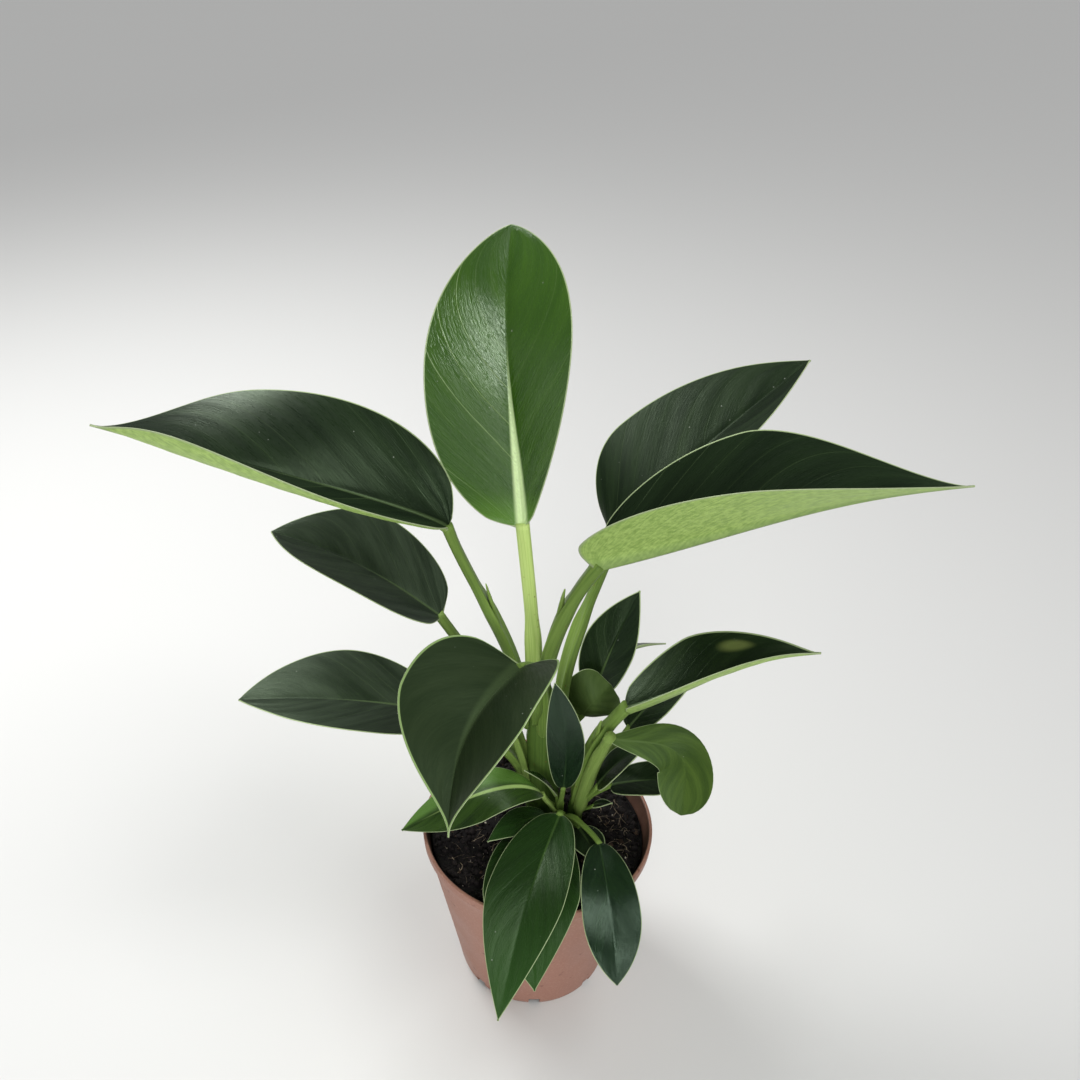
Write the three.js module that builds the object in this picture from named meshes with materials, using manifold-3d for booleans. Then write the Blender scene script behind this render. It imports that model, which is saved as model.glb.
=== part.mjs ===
// A potted green princess philodendron: three leafy shoots growing in one 120 mm nursery pot.
// Millimetres, +Z up. The origin is the middle of the pot's foot, on the surface that it stands on.
// Each shoot (its stem with the leaf stalks that grow from it) is one solid, and each blade is one solid.

import * as THREE from 'three';
import { mergeVertices } from 'three/addons/utils/BufferGeometryUtils.js';
import Module from 'manifold-3d';

const wasm = await Module();
wasm.setup();

// Driving dimensions

const SEAT = 0.3;                // clearance between two pieces that touch
const POT_HEIGHT = 100;
const RIM_RADIUS = 60;
const FOOT_RADIUS = 40;
const WALL = 1.2;
const SOIL_LEVEL = 92;           // height of the potting mix at the pot's middle
const ROOT_DEPTH = 12;           // how far a stem stands in its hole in the mix
const BLADE_THICKNESS = 0.8;
const LARGE_BLADE_WIDTH = 34;    // blades wider than this get the finer grid
const LARGE_GRID = { rows: 12, columns: 6 };
const SMALL_GRID = { rows: 8, columns: 4 };
const TIP_WIDTH = 0.9;
const THICK_STALK_RADIUS = 2.2;  // stalks thicker than this get more steps
const THICK_STALK_STEPS = 10;
const THIN_STALK_STEPS = 7;
const EAR_STEPS = 4;
const STEM_STEPS = 4;
const COLLAR_HEIGHT = 3;         // how far a stem rises straight out of the mix
const COLLAR_OVERLAP = 2;        // how deep its leaning part is sunk into the straight one

const POT_SIDES = 48;
const SOIL_SIDES = 40;
const DRAIN_SIDES = 12;
const STALK_SIDES = 8;
const EAR_SIDES = 6;

const COLOURS = {
  pot: 0xa9705f,
  soil: 0x1d1714,
  stalk: 0x7f9a48,
  leaf: 0x1f3a22,
  youngLeaf: 0x5f8a3a,
};

function finish(colour, roughness) {
  return new THREE.MeshStandardMaterial({ color: colour, roughness, metalness: 0 });
}

// Solids: a closed geometry becomes a solid, to be joined or cut, and a solid becomes a geometry

function solidOf(geometry) {
  const bare = geometry.clone();
  bare.deleteAttribute('normal');
  bare.deleteAttribute('uv');
  const merged = mergeVertices(bare, 1e-3);
  return new wasm.Manifold(new wasm.Mesh({
    numProp: 3,
    vertProperties: new Float32Array(merged.attributes.position.array),
    triVerts: new Uint32Array(merged.index.array),
  }));
}

function geometryOf(solid) {
  const mesh = solid.getMesh();
  const geometry = new THREE.BufferGeometry();
  geometry.setAttribute('position', new THREE.BufferAttribute(new Float32Array(mesh.vertProperties), 3));
  geometry.setIndex(new THREE.BufferAttribute(new Uint32Array(mesh.triVerts), 1));
  return geometry;
}

function joined(solids) {
  return solids.reduce((whole, next) => whole.add(next));
}

// Leaf blades. A blade hangs on its midrib, which runs from base to tip and bows by arch towards the upper
// face and by side towards the right. Each half rises from the midrib by the fold angle.

const BLADE_DEFAULTS = {
  arch: 4,
  skew: 1,               // above 1 moves the bow towards the tip
  side: 0,
  roll: 0,               // turns the upper face to the right, in degrees
  fold: 10,
  foldTip: null,         // the fold at the tip, where it differs
  foldPower: 1,          // above 1 keeps the base's fold further towards the tip
  cup: 0,                // how far each half is bent between midrib and margin, in degrees
  widest: 0.44,          // where the blade is widest, as a share of its length
  baseWidth: 0.2,        // width at the stalk, as a share of the greatest width
  baseTaper: 0.5,        // above 0.5 makes the base more wedge-shaped
  tipPower: 1.6,         // a higher power keeps the width further towards the tip
  tipSharp: 1.05,        // above 1 draws the tip out, below 1 rounds it
  atBase: 1,             // factor on the width at the base, which blends to atTip
  atTip: 1,
  lobe: 0,               // how far the base's outer corners run back past the stalk
  left: {},              // values that the left half has of its own
  right: {},
  up: [0, 0, 1],
};

function halfWidth(blade, t) {
  const atBase = Math.min(t / blade.widest, 1);
  const atTip = Math.max((t - blade.widest) / (1 - blade.widest), 0);
  const rounded = Math.pow(1 - (1 - atBase) ** 2, blade.baseTaper);
  const share = t < blade.widest
    ? blade.baseWidth + (1 - blade.baseWidth) * rounded
    : Math.pow(1 - Math.pow(atTip, blade.tipPower), blade.tipSharp);
  return Math.max((blade.width / 2) * share, TIP_WIDTH / 2);
}

// How far a point stands beside and above the midrib, as shares of the half's width at t
function halfSection(half, t, u) {
  const cup = THREE.MathUtils.degToRad(half.cup);
  const fold = THREE.MathUtils.lerp(half.fold, half.foldTip ?? half.fold, Math.pow(t, half.foldPower));
  const turn = THREE.MathUtils.degToRad(fold) + (cup * (u - 1)) / 2;
  const arc = (cup * u) / 2;
  const chord = Math.abs(arc) > 1e-6 ? (u * Math.sin(arc)) / arc : u;
  return { beside: chord * Math.cos(turn), above: chord * Math.sin(turn) };
}

function bladeFrame(blade) {
  const base = new THREE.Vector3(...blade.base);
  const chord = new THREE.Vector3(...blade.tip).sub(base);
  const along = chord.clone().normalize();
  const right = along.clone().cross(new THREE.Vector3(...blade.up)).normalize();
  const upper = right.clone().cross(along);
  const roll = THREE.MathUtils.degToRad(blade.roll);
  const face = upper.clone().multiplyScalar(Math.cos(roll)).addScaledVector(right, Math.sin(roll));
  const across = right.clone().multiplyScalar(Math.cos(roll)).addScaledVector(upper, -Math.sin(roll));
  return { base, chord, face, across };
}

function midrib(blade, frame, t) {
  const bow = Math.sin(Math.PI * Math.pow(t, blade.skew));
  return frame.base.clone()
    .addScaledVector(frame.chord, t)
    .addScaledVector(frame.face, bow * blade.arch)
    .addScaledVector(frame.across, bow * blade.side);
}

function midribDirection(blade, frame, t) {
  const step = 1e-3;
  const before = midrib(blade, frame, Math.max(t - step, 0));
  return midrib(blade, frame, Math.min(t + step, 1)).sub(before).normalize();
}

// A point of the blade's middle surface: t runs from base to tip, u from the left margin, -1, to the right, 1
function bladePoint(blade, frame, t, u) {
  const half = { ...blade, ...(u < 0 ? blade.left : blade.right) };
  const tangent = midribDirection(blade, frame, t);
  const across = tangent.clone().cross(frame.face).normalize();
  const face = across.clone().cross(tangent);
  const { beside, above } = halfSection(half, t, Math.abs(u));
  const reach = halfWidth(half, t) * THREE.MathUtils.lerp(half.atBase, half.atTip, t);
  const back = half.lobe * u * u * Math.max(1 - t / half.widest, 0) ** 2;
  return midrib(blade, frame, t)
    .addScaledVector(across, Math.sign(u) * reach * beside)
    .addScaledVector(face, reach * above)
    .addScaledVector(tangent, -back);
}

// Rows of the grid lie a little closer together at the base and the tip.
const END_CROWDING = 0.4;

function rowPlace(row, rows) {
  const even = row / rows;
  return THREE.MathUtils.lerp(even, 0.5 - 0.5 * Math.cos(Math.PI * even), END_CROWDING);
}

// The two faces share one grid and the same diagonals, and a strip round the margin closes them.
function bladeGeometry(given) {
  const blade = { ...BLADE_DEFAULTS, ...given };
  const frame = bladeFrame(blade);
  const { rows, columns } = blade.width > LARGE_BLADE_WIDTH ? LARGE_GRID : SMALL_GRID;
  const grid = [];
  for (let i = 0; i <= rows; i += 1) {
    for (let j = 0; j <= columns; j += 1) {
      grid.push(bladePoint(blade, frame, rowPlace(i, rows), (2 * j) / columns - 1));
    }
  }
  const at = (i, j) => i * (columns + 1) + j;
  const faces = [];
  for (let i = 0; i < rows; i += 1) {
    for (let j = 0; j < columns; j += 1) {
      faces.push([at(i, j), at(i, j + 1), at(i + 1, j + 1)]);
      faces.push([at(i, j), at(i + 1, j + 1), at(i + 1, j)]);
    }
  }
  const normals = grid.map(() => new THREE.Vector3());
  for (const [a, b, c] of faces) {
    const edge = grid[b].clone().sub(grid[a]);
    const area = edge.cross(grid[c].clone().sub(grid[a]));
    normals[a].add(area);
    normals[b].add(area);
    normals[c].add(area);
  }
  const half = BLADE_THICKNESS / 2;
  const upper = grid.map((point, k) => point.clone().addScaledVector(normals[k].normalize(), half));
  const under = grid.map((point, k) => point.clone().addScaledVector(normals[k], -half));
  const margin = [];
  for (let j = 0; j < columns; j += 1) {
    margin.push(at(0, j));
  }
  for (let i = 0; i < rows; i += 1) {
    margin.push(at(i, columns));
  }
  for (let j = columns; j > 0; j -= 1) {
    margin.push(at(rows, j));
  }
  for (let i = rows; i > 0; i -= 1) {
    margin.push(at(i, 0));
  }
  const count = grid.length;
  const index = [];
  for (const [a, b, c] of faces) {
    index.push(a, b, c);
    index.push(a + count, c + count, b + count);
  }
  margin.forEach((a, k) => {
    const b = margin[(k + 1) % margin.length];
    index.push(a, b + count, b);
    index.push(a, a + count, b + count);
  });
  const geometry = new THREE.BufferGeometry().setFromPoints([...upper, ...under]);
  geometry.setIndex(index);
  return geometry;
}

// Stalks and stems: a cylinder bent along a curve, with its width and depth set along the way

function bent(curve, sides, steps, widthAt, depthAt, right) {
  const geometry = new THREE.CylinderGeometry(1, 1, 1, sides, steps);
  const position = geometry.attributes.position;
  for (let k = 0; k < position.count; k += 1) {
    const t = THREE.MathUtils.clamp(position.getY(k) + 0.5, 0, 1);
    const tangent = curve.getTangent(t);
    const depth = right.clone().cross(tangent).normalize();
    const width = depth.clone().cross(tangent);
    const point = curve.getPoint(t)
      .addScaledVector(width, position.getZ(k) * widthAt(t))
      .addScaledVector(depth, position.getX(k) * depthAt(t));
    position.setXYZ(k, point.x, point.y, point.z);
  }
  return solidOf(geometry);
}

const STALK_DEFAULTS = {
  radius: 1.5,
  sheath: 0.5,           // share of the stalk that is winged
  flare: 1.5,            // width of the winged part, in stalk radii
  bend: 0.5,             // how much the stalk's end leans along the blade
  seat: 0.7,             // distance from the stalk's end to the blade's base
  auricle: 0,            // length of the free end of the sheath
  bow: [0, 0, 0],        // how far the stalk's middle is drawn aside
};
const SHEATH_FADE = 0.06;        // half the share of the stalk over which its sheath narrows
const RISE_LEAN = 0.35;          // how far a stalk leaves the stem towards its blade
const RISE_REACH = 0.38;         // how far the stalk keeps the direction of its root
const END_REACH = 0.32;          // how far it keeps the direction of its end
const STALK_FLATNESS = 0.85;     // depth of a bare stalk, as a share of its width
const EAR_START = 0.15;          // where the free end leaves the stalk, before the sheath's end

function stalkCurve(blade, stalk) {
  const frame = bladeFrame(blade);
  const root = new THREE.Vector3(...stalk.root);
  const reach = frame.base.clone().sub(root);
  const length = reach.length();
  const heading = reach.clone().normalize();
  const lean = heading.clone().addScaledVector(midribDirection(blade, frame, 0), stalk.bend).normalize();
  const rise = new THREE.Vector3(0, 0, 1).addScaledVector(heading, RISE_LEAN).normalize();
  const end = frame.base.clone().addScaledVector(lean, -stalk.seat);
  const bow = new THREE.Vector3(...stalk.bow);
  return new THREE.CubicBezierCurve3(
    root,
    root.clone().addScaledVector(rise, length * RISE_REACH).add(bow),
    end.clone().addScaledVector(lean, -length * END_REACH).add(bow),
    end,
  );
}

function earSolid(curve, stalk, across) {
  const shoulder = curve.getPoint(stalk.sheath);
  const heading = curve.getTangent(stalk.sheath);
  const out = across.clone().cross(heading).normalize();
  const tip = shoulder.clone()
    .addScaledVector(heading, stalk.auricle * 0.6)
    .addScaledVector(out, stalk.radius + stalk.auricle * 0.1);
  const middle = shoulder.clone().addScaledVector(out, stalk.radius);
  const ear = new THREE.QuadraticBezierCurve3(curve.getPoint(stalk.sheath - EAR_START), middle, tip);
  const radiusAt = (t) => stalk.radius * THREE.MathUtils.lerp(0.9, 0.15, t);
  return bent(ear, EAR_SIDES, EAR_STEPS, radiusAt, radiusAt, across);
}

function stalkSolid(leaf) {
  const blade = { ...BLADE_DEFAULTS, ...leaf.blade };
  const stalk = { ...STALK_DEFAULTS, ...leaf.stalk };
  const curve = stalkCurve(blade, stalk);
  const { across } = bladeFrame(blade);
  const winged = (t) => THREE.MathUtils.smoothstep(stalk.sheath + SHEATH_FADE - t, 0, 2 * SHEATH_FADE);
  const widthAt = (t) => stalk.radius * THREE.MathUtils.lerp(1, stalk.flare, winged(t));
  const depthAt = (t) => stalk.radius * THREE.MathUtils.lerp(STALK_FLATNESS, 1, winged(t));
  const steps = stalk.radius > THICK_STALK_RADIUS ? THICK_STALK_STEPS : THIN_STALK_STEPS;
  const solid = bent(curve, STALK_SIDES, steps, widthAt, depthAt, across);
  return stalk.auricle > 0 ? solid.add(earSolid(curve, stalk, across)) : solid;
}

// A stem is upright in its hole in the mix, and tapers and leans above it.
function stemSolid(stem) {
  const foot = new THREE.Vector3(...stem.foot);
  const collar = SOIL_LEVEL + COLLAR_HEIGHT;
  const upright = new THREE.CylinderGeometry(stem.radius, stem.radius, collar - foot.z, stem.sides);
  upright.rotateX(Math.PI / 2);
  upright.translate(foot.x, foot.y, (collar + foot.z) / 2);
  const start = foot.clone().setZ(collar - COLLAR_OVERLAP);
  const leaning = new THREE.LineCurve3(start, new THREE.Vector3(...stem.top));
  const radiusAt = (t) => THREE.MathUtils.lerp(stem.radius, stem.topRadius, t) - 0.1;
  const across = new THREE.Vector3(1, 0, 0);
  return solidOf(upright).add(bent(leaning, stem.sides, STEM_STEPS, radiusAt, radiusAt, across));
}

// The three shoots, with their stems, and each leaf's blade and stalk

const ROOT_FOOT = SOIL_LEVEL - ROOT_DEPTH;

const SHOOTS = {
  shoot_main: { foot: [2, 21, ROOT_FOOT], top: [-1, 21, 192], radius: 9.8, topRadius: 7.4, sides: 12 },
  shoot_right: { foot: [19, 11, ROOT_FOOT], top: [21, 9, 112], radius: 4.6, topRadius: 3.6, sides: 10 },
  shoot_front: { foot: [11, 5, ROOT_FOOT], top: [11, 3, 106], radius: 3.4, topRadius: 2.6, sides: 8 },
};

const LEAVES = [
  {
    name: 'leaf_main_crown',
    shoot: 'shoot_main',
    young: true,
    blade: {
      base: [-13, 24, 268], tip: [-22, 60, 394], width: 72, arch: 12.6, side: -0.5, skew: 1.44, roll: -26,
      fold: 20, widest: 0.576, tipPower: 2.2, tipSharp: 0.76, baseWidth: 0.174, baseTaper: 0.76,
      left: { cup: 24, atBase: 1.26, atTip: 0.8 },
      right: { atBase: 0.44, atTip: 1.16 },
    },
    stalk: { root: [-5, 22, 160], radius: 3.3, sheath: 0.45, flare: 1.3, bow: [1.5, 0, 0] },
  },
  {
    name: 'leaf_main_left',
    shoot: 'shoot_main',
    blade: {
      base: [-45.9, 12, 273.1], tip: [-192, 5, 321.2], width: 97, arch: 3.6, skew: 0.55, roll: 2,
      widest: 0.58, tipPower: 2.87, tipSharp: 1.74, baseWidth: 0,
      left: { fold: 16, foldTip: 48, foldPower: 1.6, cup: 60, atBase: 0.74, atTip: 0.74 },
      right: { fold: 65, foldTip: -8, atBase: 0.98, atTip: 0.85 },
    },
    stalk: {
      root: [-8, 18, 150], radius: 3.2, sheath: 0.66, flare: 1.9, bend: 0.9, auricle: 12, bow: [2.5, 0, 0],
    },
  },
  {
    name: 'leaf_main_right',
    shoot: 'shoot_main',
    blade: {
      base: [22, 2, 264], tip: [161.9, -25, 326.4], width: 85, arch: 6.3, side: 3.4, skew: 1.66,
      widest: 0.522, tipPower: 1.69, tipSharp: 1.16, baseWidth: 0.12, baseTaper: 0.6,
      left: { fold: 58.7, foldTip: 29.2, widest: 0.472, tipSharp: 1.59, atBase: 0.91, atTip: 0.974 },
      right: { fold: 60.3, foldTip: 32.3, atBase: 1.158, atTip: 0.934, lobe: 9.4 },
    },
    stalk: { root: [-3, 15, 156], radius: 4.2, sheath: 0.72, flare: 1.85, seat: 0.9, auricle: 12 },
  },
  {
    name: 'leaf_main_back_right',
    shoot: 'shoot_main',
    blade: {
      base: [30.2, 44.4, 245.3], tip: [119.9, 87.8, 326.4], width: 78.7, arch: 10.6, side: 6.5, skew: 0.55,
      roll: -8, fold: 20.7, widest: 0.344, tipPower: 1.93, baseWidth: 0.084, baseTaper: 0.68,
      left: { tipPower: 2.58, tipSharp: 1.01, atBase: 1.117, atTip: 1.023 },
      right: { atTip: 1.165 },
    },
    stalk: {
      root: [10, 19, 150], radius: 3.2, sheath: 0.6, flare: 1.6, bend: 1, seat: 2.4, bow: [-7, 0, 0],
    },
  },
  {
    name: 'leaf_main_heart',
    shoot: 'shoot_main',
    blade: {
      base: [-11, -16, 218], tip: [-38.8, -76, 173.4], width: 72, arch: 14.6, side: 2.4, roll: 12.6,
      fold: 31.5, widest: 0.414, tipPower: 1.62, tipSharp: 1.66,
      left: { baseWidth: 0.28, baseTaper: 0.42, atBase: 1.21, atTip: 1.26, lobe: 4 },
      right: { baseWidth: 0.12, atBase: 1.24, atTip: 0.685 },
    },
    stalk: { root: [0, 16, 140], radius: 2.6, sheath: 0.4, flare: 1.4, bend: 1.6, seat: 1 },
  },
  {
    name: 'leaf_main_mid_left',
    shoot: 'shoot_main',
    blade: {
      base: [-51, 20, 217], tip: [-132, 36, 251], width: 62, arch: 6, fold: 19,
      widest: 0.5, tipPower: 2, tipSharp: 0.9, baseWidth: 0.15,
    },
    stalk: { root: [-5, 17, 106], radius: 2.8, sheath: 0.6, flare: 1.7 },
  },
  {
    name: 'leaf_main_low_left',
    shoot: 'shoot_main',
    blade: {
      base: [-53, 5, 170], tip: [-146, -4, 180], width: 60, arch: 4, fold: 10,
      widest: 0.42, tipPower: 1.9, tipSharp: 0.9,
      left: { atTip: 0.7, lobe: 2 },
      right: { atBase: 0.9, atTip: 1.2, lobe: 2 },
    },
    stalk: { root: [-5, 17, 101], radius: 3, sheath: 0.5, flare: 1.7, seat: 1.6, bow: [0, 6, 0] },
  },
  {
    name: 'leaf_main_upright',
    shoot: 'shoot_main',
    blade: {
      base: [27, 38, 157], tip: [48, 62, 206], width: 32, arch: 2, fold: 16, tipPower: 1.7, tipSharp: 1,
    },
    stalk: { root: [6, 25, 122], radius: 2 },
  },
  {
    name: 'leaf_main_pale',
    shoot: 'shoot_main',
    young: true,
    blade: {
      base: [20.8, 30, 147.2], tip: [34.5, 30, 169.1], up: [0, -0.8, 0.6], width: 32.2, arch: 5.9,
      side: -2.8, roll: 13.5, fold: -10, widest: 0.55, tipPower: 3.2, tipSharp: 0.31, baseWidth: 0.18,
      left: { atBase: 1.07, atTip: 1.07 },
      right: { atBase: 0.755, atTip: 1.05 },
    },
    stalk: { root: [5, 23, 128], radius: 1.7, seat: 1.1 },
  },
  {
    name: 'leaf_main_far',
    shoot: 'shoot_main',
    blade: { base: [36, 56, 166], tip: [65, 64, 170], width: 20, arch: 2, roll: -38, fold: 6 },
    stalk: { root: [5, 27, 118], radius: 1.7 },
  },
  {
    name: 'leaf_right_long',
    shoot: 'shoot_right',
    blade: {
      base: [39, -4, 185], tip: [126.8, 0, 220], width: 45, arch: 4.2, side: -2.3, skew: 1.7, roll: -3.6,
      widest: 0.588, tipPower: 1.53, tipSharp: 1.09,
      left: { fold: 22, foldTip: 45, widest: 0.4, tipSharp: 1.43, atBase: 0.828, atTip: 1.264 },
      right: { fold: 38.5, foldTip: 41, foldPower: 1.5, cup: 35, atBase: 0.812, atTip: 1.109 },
    },
    stalk: { root: [19, 11, 98], radius: 3.8, sheath: 0.78, flare: 1.3, auricle: 7 },
  },
  {
    name: 'leaf_right_curled',
    shoot: 'shoot_right',
    young: true,
    blade: {
      base: [32, -12, 173], tip: [67, -34, 146], up: [0.3, -0.7, 0.6], width: 27,
      arch: 5, skew: 1.2, side: -18, fold: -8,
      widest: 0.74, tipPower: 2.8, tipSharp: 0.55, baseWidth: 0.12, baseTaper: 1.2,
      left: { atTip: 1.1 },
    },
    stalk: {
      root: [21, 6, 98], radius: 3.2, sheath: 0.85, flare: 1.2, bend: 0.2, seat: 1.5, bow: [2.5, 0, 0],
    },
  },
  {
    name: 'leaf_right_behind',
    shoot: 'shoot_right',
    blade: {
      base: [44, 15, 154], tip: [82, 25, 192], width: 30, arch: 4, fold: 8,
      left: { lobe: 2 },
      right: { lobe: 2 },
    },
    stalk: { root: [21, 13, 98], radius: 1.8, seat: 1.3 },
  },
  {
    name: 'leaf_right_inner',
    shoot: 'shoot_right',
    blade: { base: [29, -3, 130], tip: [54, 0, 160], width: 18, arch: 3, fold: 8, baseWidth: 0.12 },
    stalk: { root: [21, 8, 98], radius: 1.4, seat: 0.9 },
  },
  {
    name: 'leaf_right_low',
    shoot: 'shoot_right',
    blade: { base: [36, 2, 126], tip: [80, 0, 132], width: 24, arch: 3, fold: 8, widest: 0.5 },
    stalk: { root: [22, 10, 97], radius: 1.6 },
  },
  {
    name: 'leaf_right_bract',
    shoot: 'shoot_right',
    blade: { base: [28, 2, 110], tip: [38, 0, 115], width: 6, arch: 1, fold: 8 },
    stalk: { root: [21, 8, 97], radius: 1.1 },
  },
  {
    name: 'leaf_front_upright',
    shoot: 'shoot_front',
    blade: {
      base: [12, -4, 129], tip: [5, -3, 198], up: [0, -1, 0.2], width: 19, arch: 2, side: 3, fold: 14,
      widest: 0.5, tipPower: 1.8, tipSharp: 0.85, baseWidth: 0.12, baseTaper: 0.6,
    },
    stalk: { root: [11, 5, 97], radius: 1.3 },
  },
  {
    name: 'leaf_front_left',
    shoot: 'shoot_front',
    blade: {
      base: [2, -2, 121], tip: [-69.7, -12, 101.9], width: 36, arch: 13.6, side: -1.4, skew: 0.585,
      roll: 1.8, widest: 0.4, tipPower: 1.36, tipSharp: 0.96,
      left: { fold: 8, foldTip: -48, atBase: 0.757, atTip: 1.034 },
      right: { fold: -12, foldTip: 18, atBase: 0.822, atTip: 1.264 },
    },
    stalk: { root: [10, 4, 98], radius: 1.7 },
  },
  {
    name: 'leaf_front_small_left',
    shoot: 'shoot_front',
    blade: { base: [5, -1, 105], tip: [-25, -24, 110], width: 18, arch: 4, fold: 4 },
    stalk: { root: [10, 4, 97], radius: 1.2 },
  },
  {
    name: 'leaf_front_large',
    shoot: 'shoot_front',
    blade: {
      base: [11, -8, 114], tip: [-15, -106, 88], width: 41, arch: 8, side: 1.5, fold: 8,
      widest: 0.48, baseWidth: 0.12, baseTaper: 0.62,
      left: { atBase: 0.9, atTip: 0.8 },
    },
    stalk: { root: [11, 3, 97], radius: 1.9, bend: 1 },
  },
  {
    name: 'leaf_front_under',
    shoot: 'shoot_front',
    blade: {
      base: [3, -8, 102], tip: [1, -90, 87], width: 47, arch: 11, side: 4, fold: 6, widest: 0.5,
      left: { lobe: 1 },
      right: { lobe: 1 },
    },
    stalk: { root: [10, 3, 97], radius: 1.4, seat: 0.9 },
  },
  {
    name: 'leaf_front_glossy',
    shoot: 'shoot_front',
    blade: {
      base: [31, -20, 108], tip: [40, -80, 79], width: 29, arch: 8, fold: 12,
      widest: 0.55, tipPower: 2.1, tipSharp: 0.9, baseWidth: 0.1, baseTaper: 0.65,
    },
    stalk: { root: [12, 4, 97], radius: 1.5, bend: 1 },
  },
  {
    name: 'leaf_front_short',
    shoot: 'shoot_front',
    blade: { base: [21, -3, 99], tip: [32, -28, 100], width: 18, arch: 2, fold: 5 },
    stalk: { root: [12, 4, 96], radius: 1.1 },
  },
  {
    name: 'leaf_front_bud',
    shoot: 'shoot_front',
    blade: { base: [9, 6, 113], tip: [-8, 5, 131], width: 10, arch: 2, roll: 20, fold: 5 },
    stalk: { root: [10, 6, 98], radius: 1.1, seat: 0.9 },
  },
];

// Pot: a thin wall with a slim lip, a raised floor with drain holes, and a notched foot ring

const FLOOR_HEIGHT = 6;
const FLOOR_TOP = FLOOR_HEIGHT + WALL;
const CENTRE_FOOT_RADIUS = 9;
const RING_WIDTH = 2.4;          // width of the foot ring's flat
const FOOT_ROUNDING = 2;         // height over which the wall curves in to the foot
const FOOT_STEP = 0.8;           // how much wider the wall is above that curve
const LIP_HEIGHT = 6;
const LIP_STEP = 1.4;            // how far the lip stands out from the wall
const LIP_EDGE = 0.6;            // size of the lip's rounded edges
const LIP_UNDERSIDE = POT_HEIGHT - LIP_HEIGHT;
const WALL_FOOT_RADIUS = FOOT_RADIUS + FOOT_STEP;
const WALL_TOP_RADIUS = RIM_RADIUS - LIP_STEP - 0.4;
const FLOOR_CORNER = 2;          // size of the slope between the floor and the wall, inside
const DRAIN = { count: 6, radius: 3.5, ring: 24 };
const NOTCH = { count: 8, width: 6, height: 5, turn: 0.05 };

function lathed(profile, sides) {
  const geometry = new THREE.LatheGeometry(profile.map(([r, z]) => new THREE.Vector2(r, z)), sides);
  return geometry.rotateX(Math.PI / 2);
}

function potSolid() {
  let pot = solidOf(lathed([
    [0, 0],
    [CENTRE_FOOT_RADIUS, 0],
    [CENTRE_FOOT_RADIUS + 1, FLOOR_HEIGHT],
    [FOOT_RADIUS - RING_WIDTH - 1, FLOOR_HEIGHT],
    [FOOT_RADIUS - RING_WIDTH, 0],
    [FOOT_RADIUS, 0],
    [FOOT_RADIUS + 0.7 * FOOT_STEP, FOOT_ROUNDING / 2],
    [WALL_FOOT_RADIUS, FOOT_ROUNDING],
    [WALL_TOP_RADIUS, LIP_UNDERSIDE],
    [RIM_RADIUS - LIP_EDGE, LIP_UNDERSIDE + 1],
    [RIM_RADIUS, POT_HEIGHT - 1],
    [RIM_RADIUS - LIP_EDGE, POT_HEIGHT],
    [RIM_RADIUS - LIP_EDGE - LIP_STEP, POT_HEIGHT],
    [WALL_TOP_RADIUS - WALL, LIP_UNDERSIDE],
    [WALL_FOOT_RADIUS - WALL, FLOOR_TOP + FLOOR_CORNER],
    [WALL_FOOT_RADIUS - WALL - FLOOR_CORNER, FLOOR_TOP],
    [0, FLOOR_TOP],
  ], POT_SIDES));
  for (let k = 0; k < DRAIN.count; k += 1) {
    const drain = new THREE.CylinderGeometry(DRAIN.radius, DRAIN.radius, 3 * FLOOR_HEIGHT, DRAIN_SIDES);
    drain.rotateX(Math.PI / 2);
    drain.translate(DRAIN.ring, 0, FLOOR_HEIGHT);
    drain.rotateZ((2 * Math.PI * k) / DRAIN.count);
    pot = pot.subtract(solidOf(drain));
  }
  for (let k = 0; k < NOTCH.count; k += 1) {
    const notch = new THREE.BoxGeometry(NOTCH.width, 4 * RING_WIDTH, 2 * NOTCH.height);
    notch.translate(0, -FOOT_RADIUS, 0);
    notch.rotateZ(NOTCH.turn + (2 * Math.PI * k) / NOTCH.count);
    pot = pot.subtract(solidOf(notch));
  }
  return pot;
}

// Potting mix: it fills the pot, lies higher at the left and front, and has a plain hole for each stem

function soilHeight(x, y) {
  const slope = -0.03 * x - 0.015 * y;
  const lumps = 0.7 * Math.sin(0.21 * x + 1.3) * Math.cos(0.17 * y) + 0.5 * Math.sin(0.33 * (x + y));
  return SOIL_LEVEL + slope + lumps;
}

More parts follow.
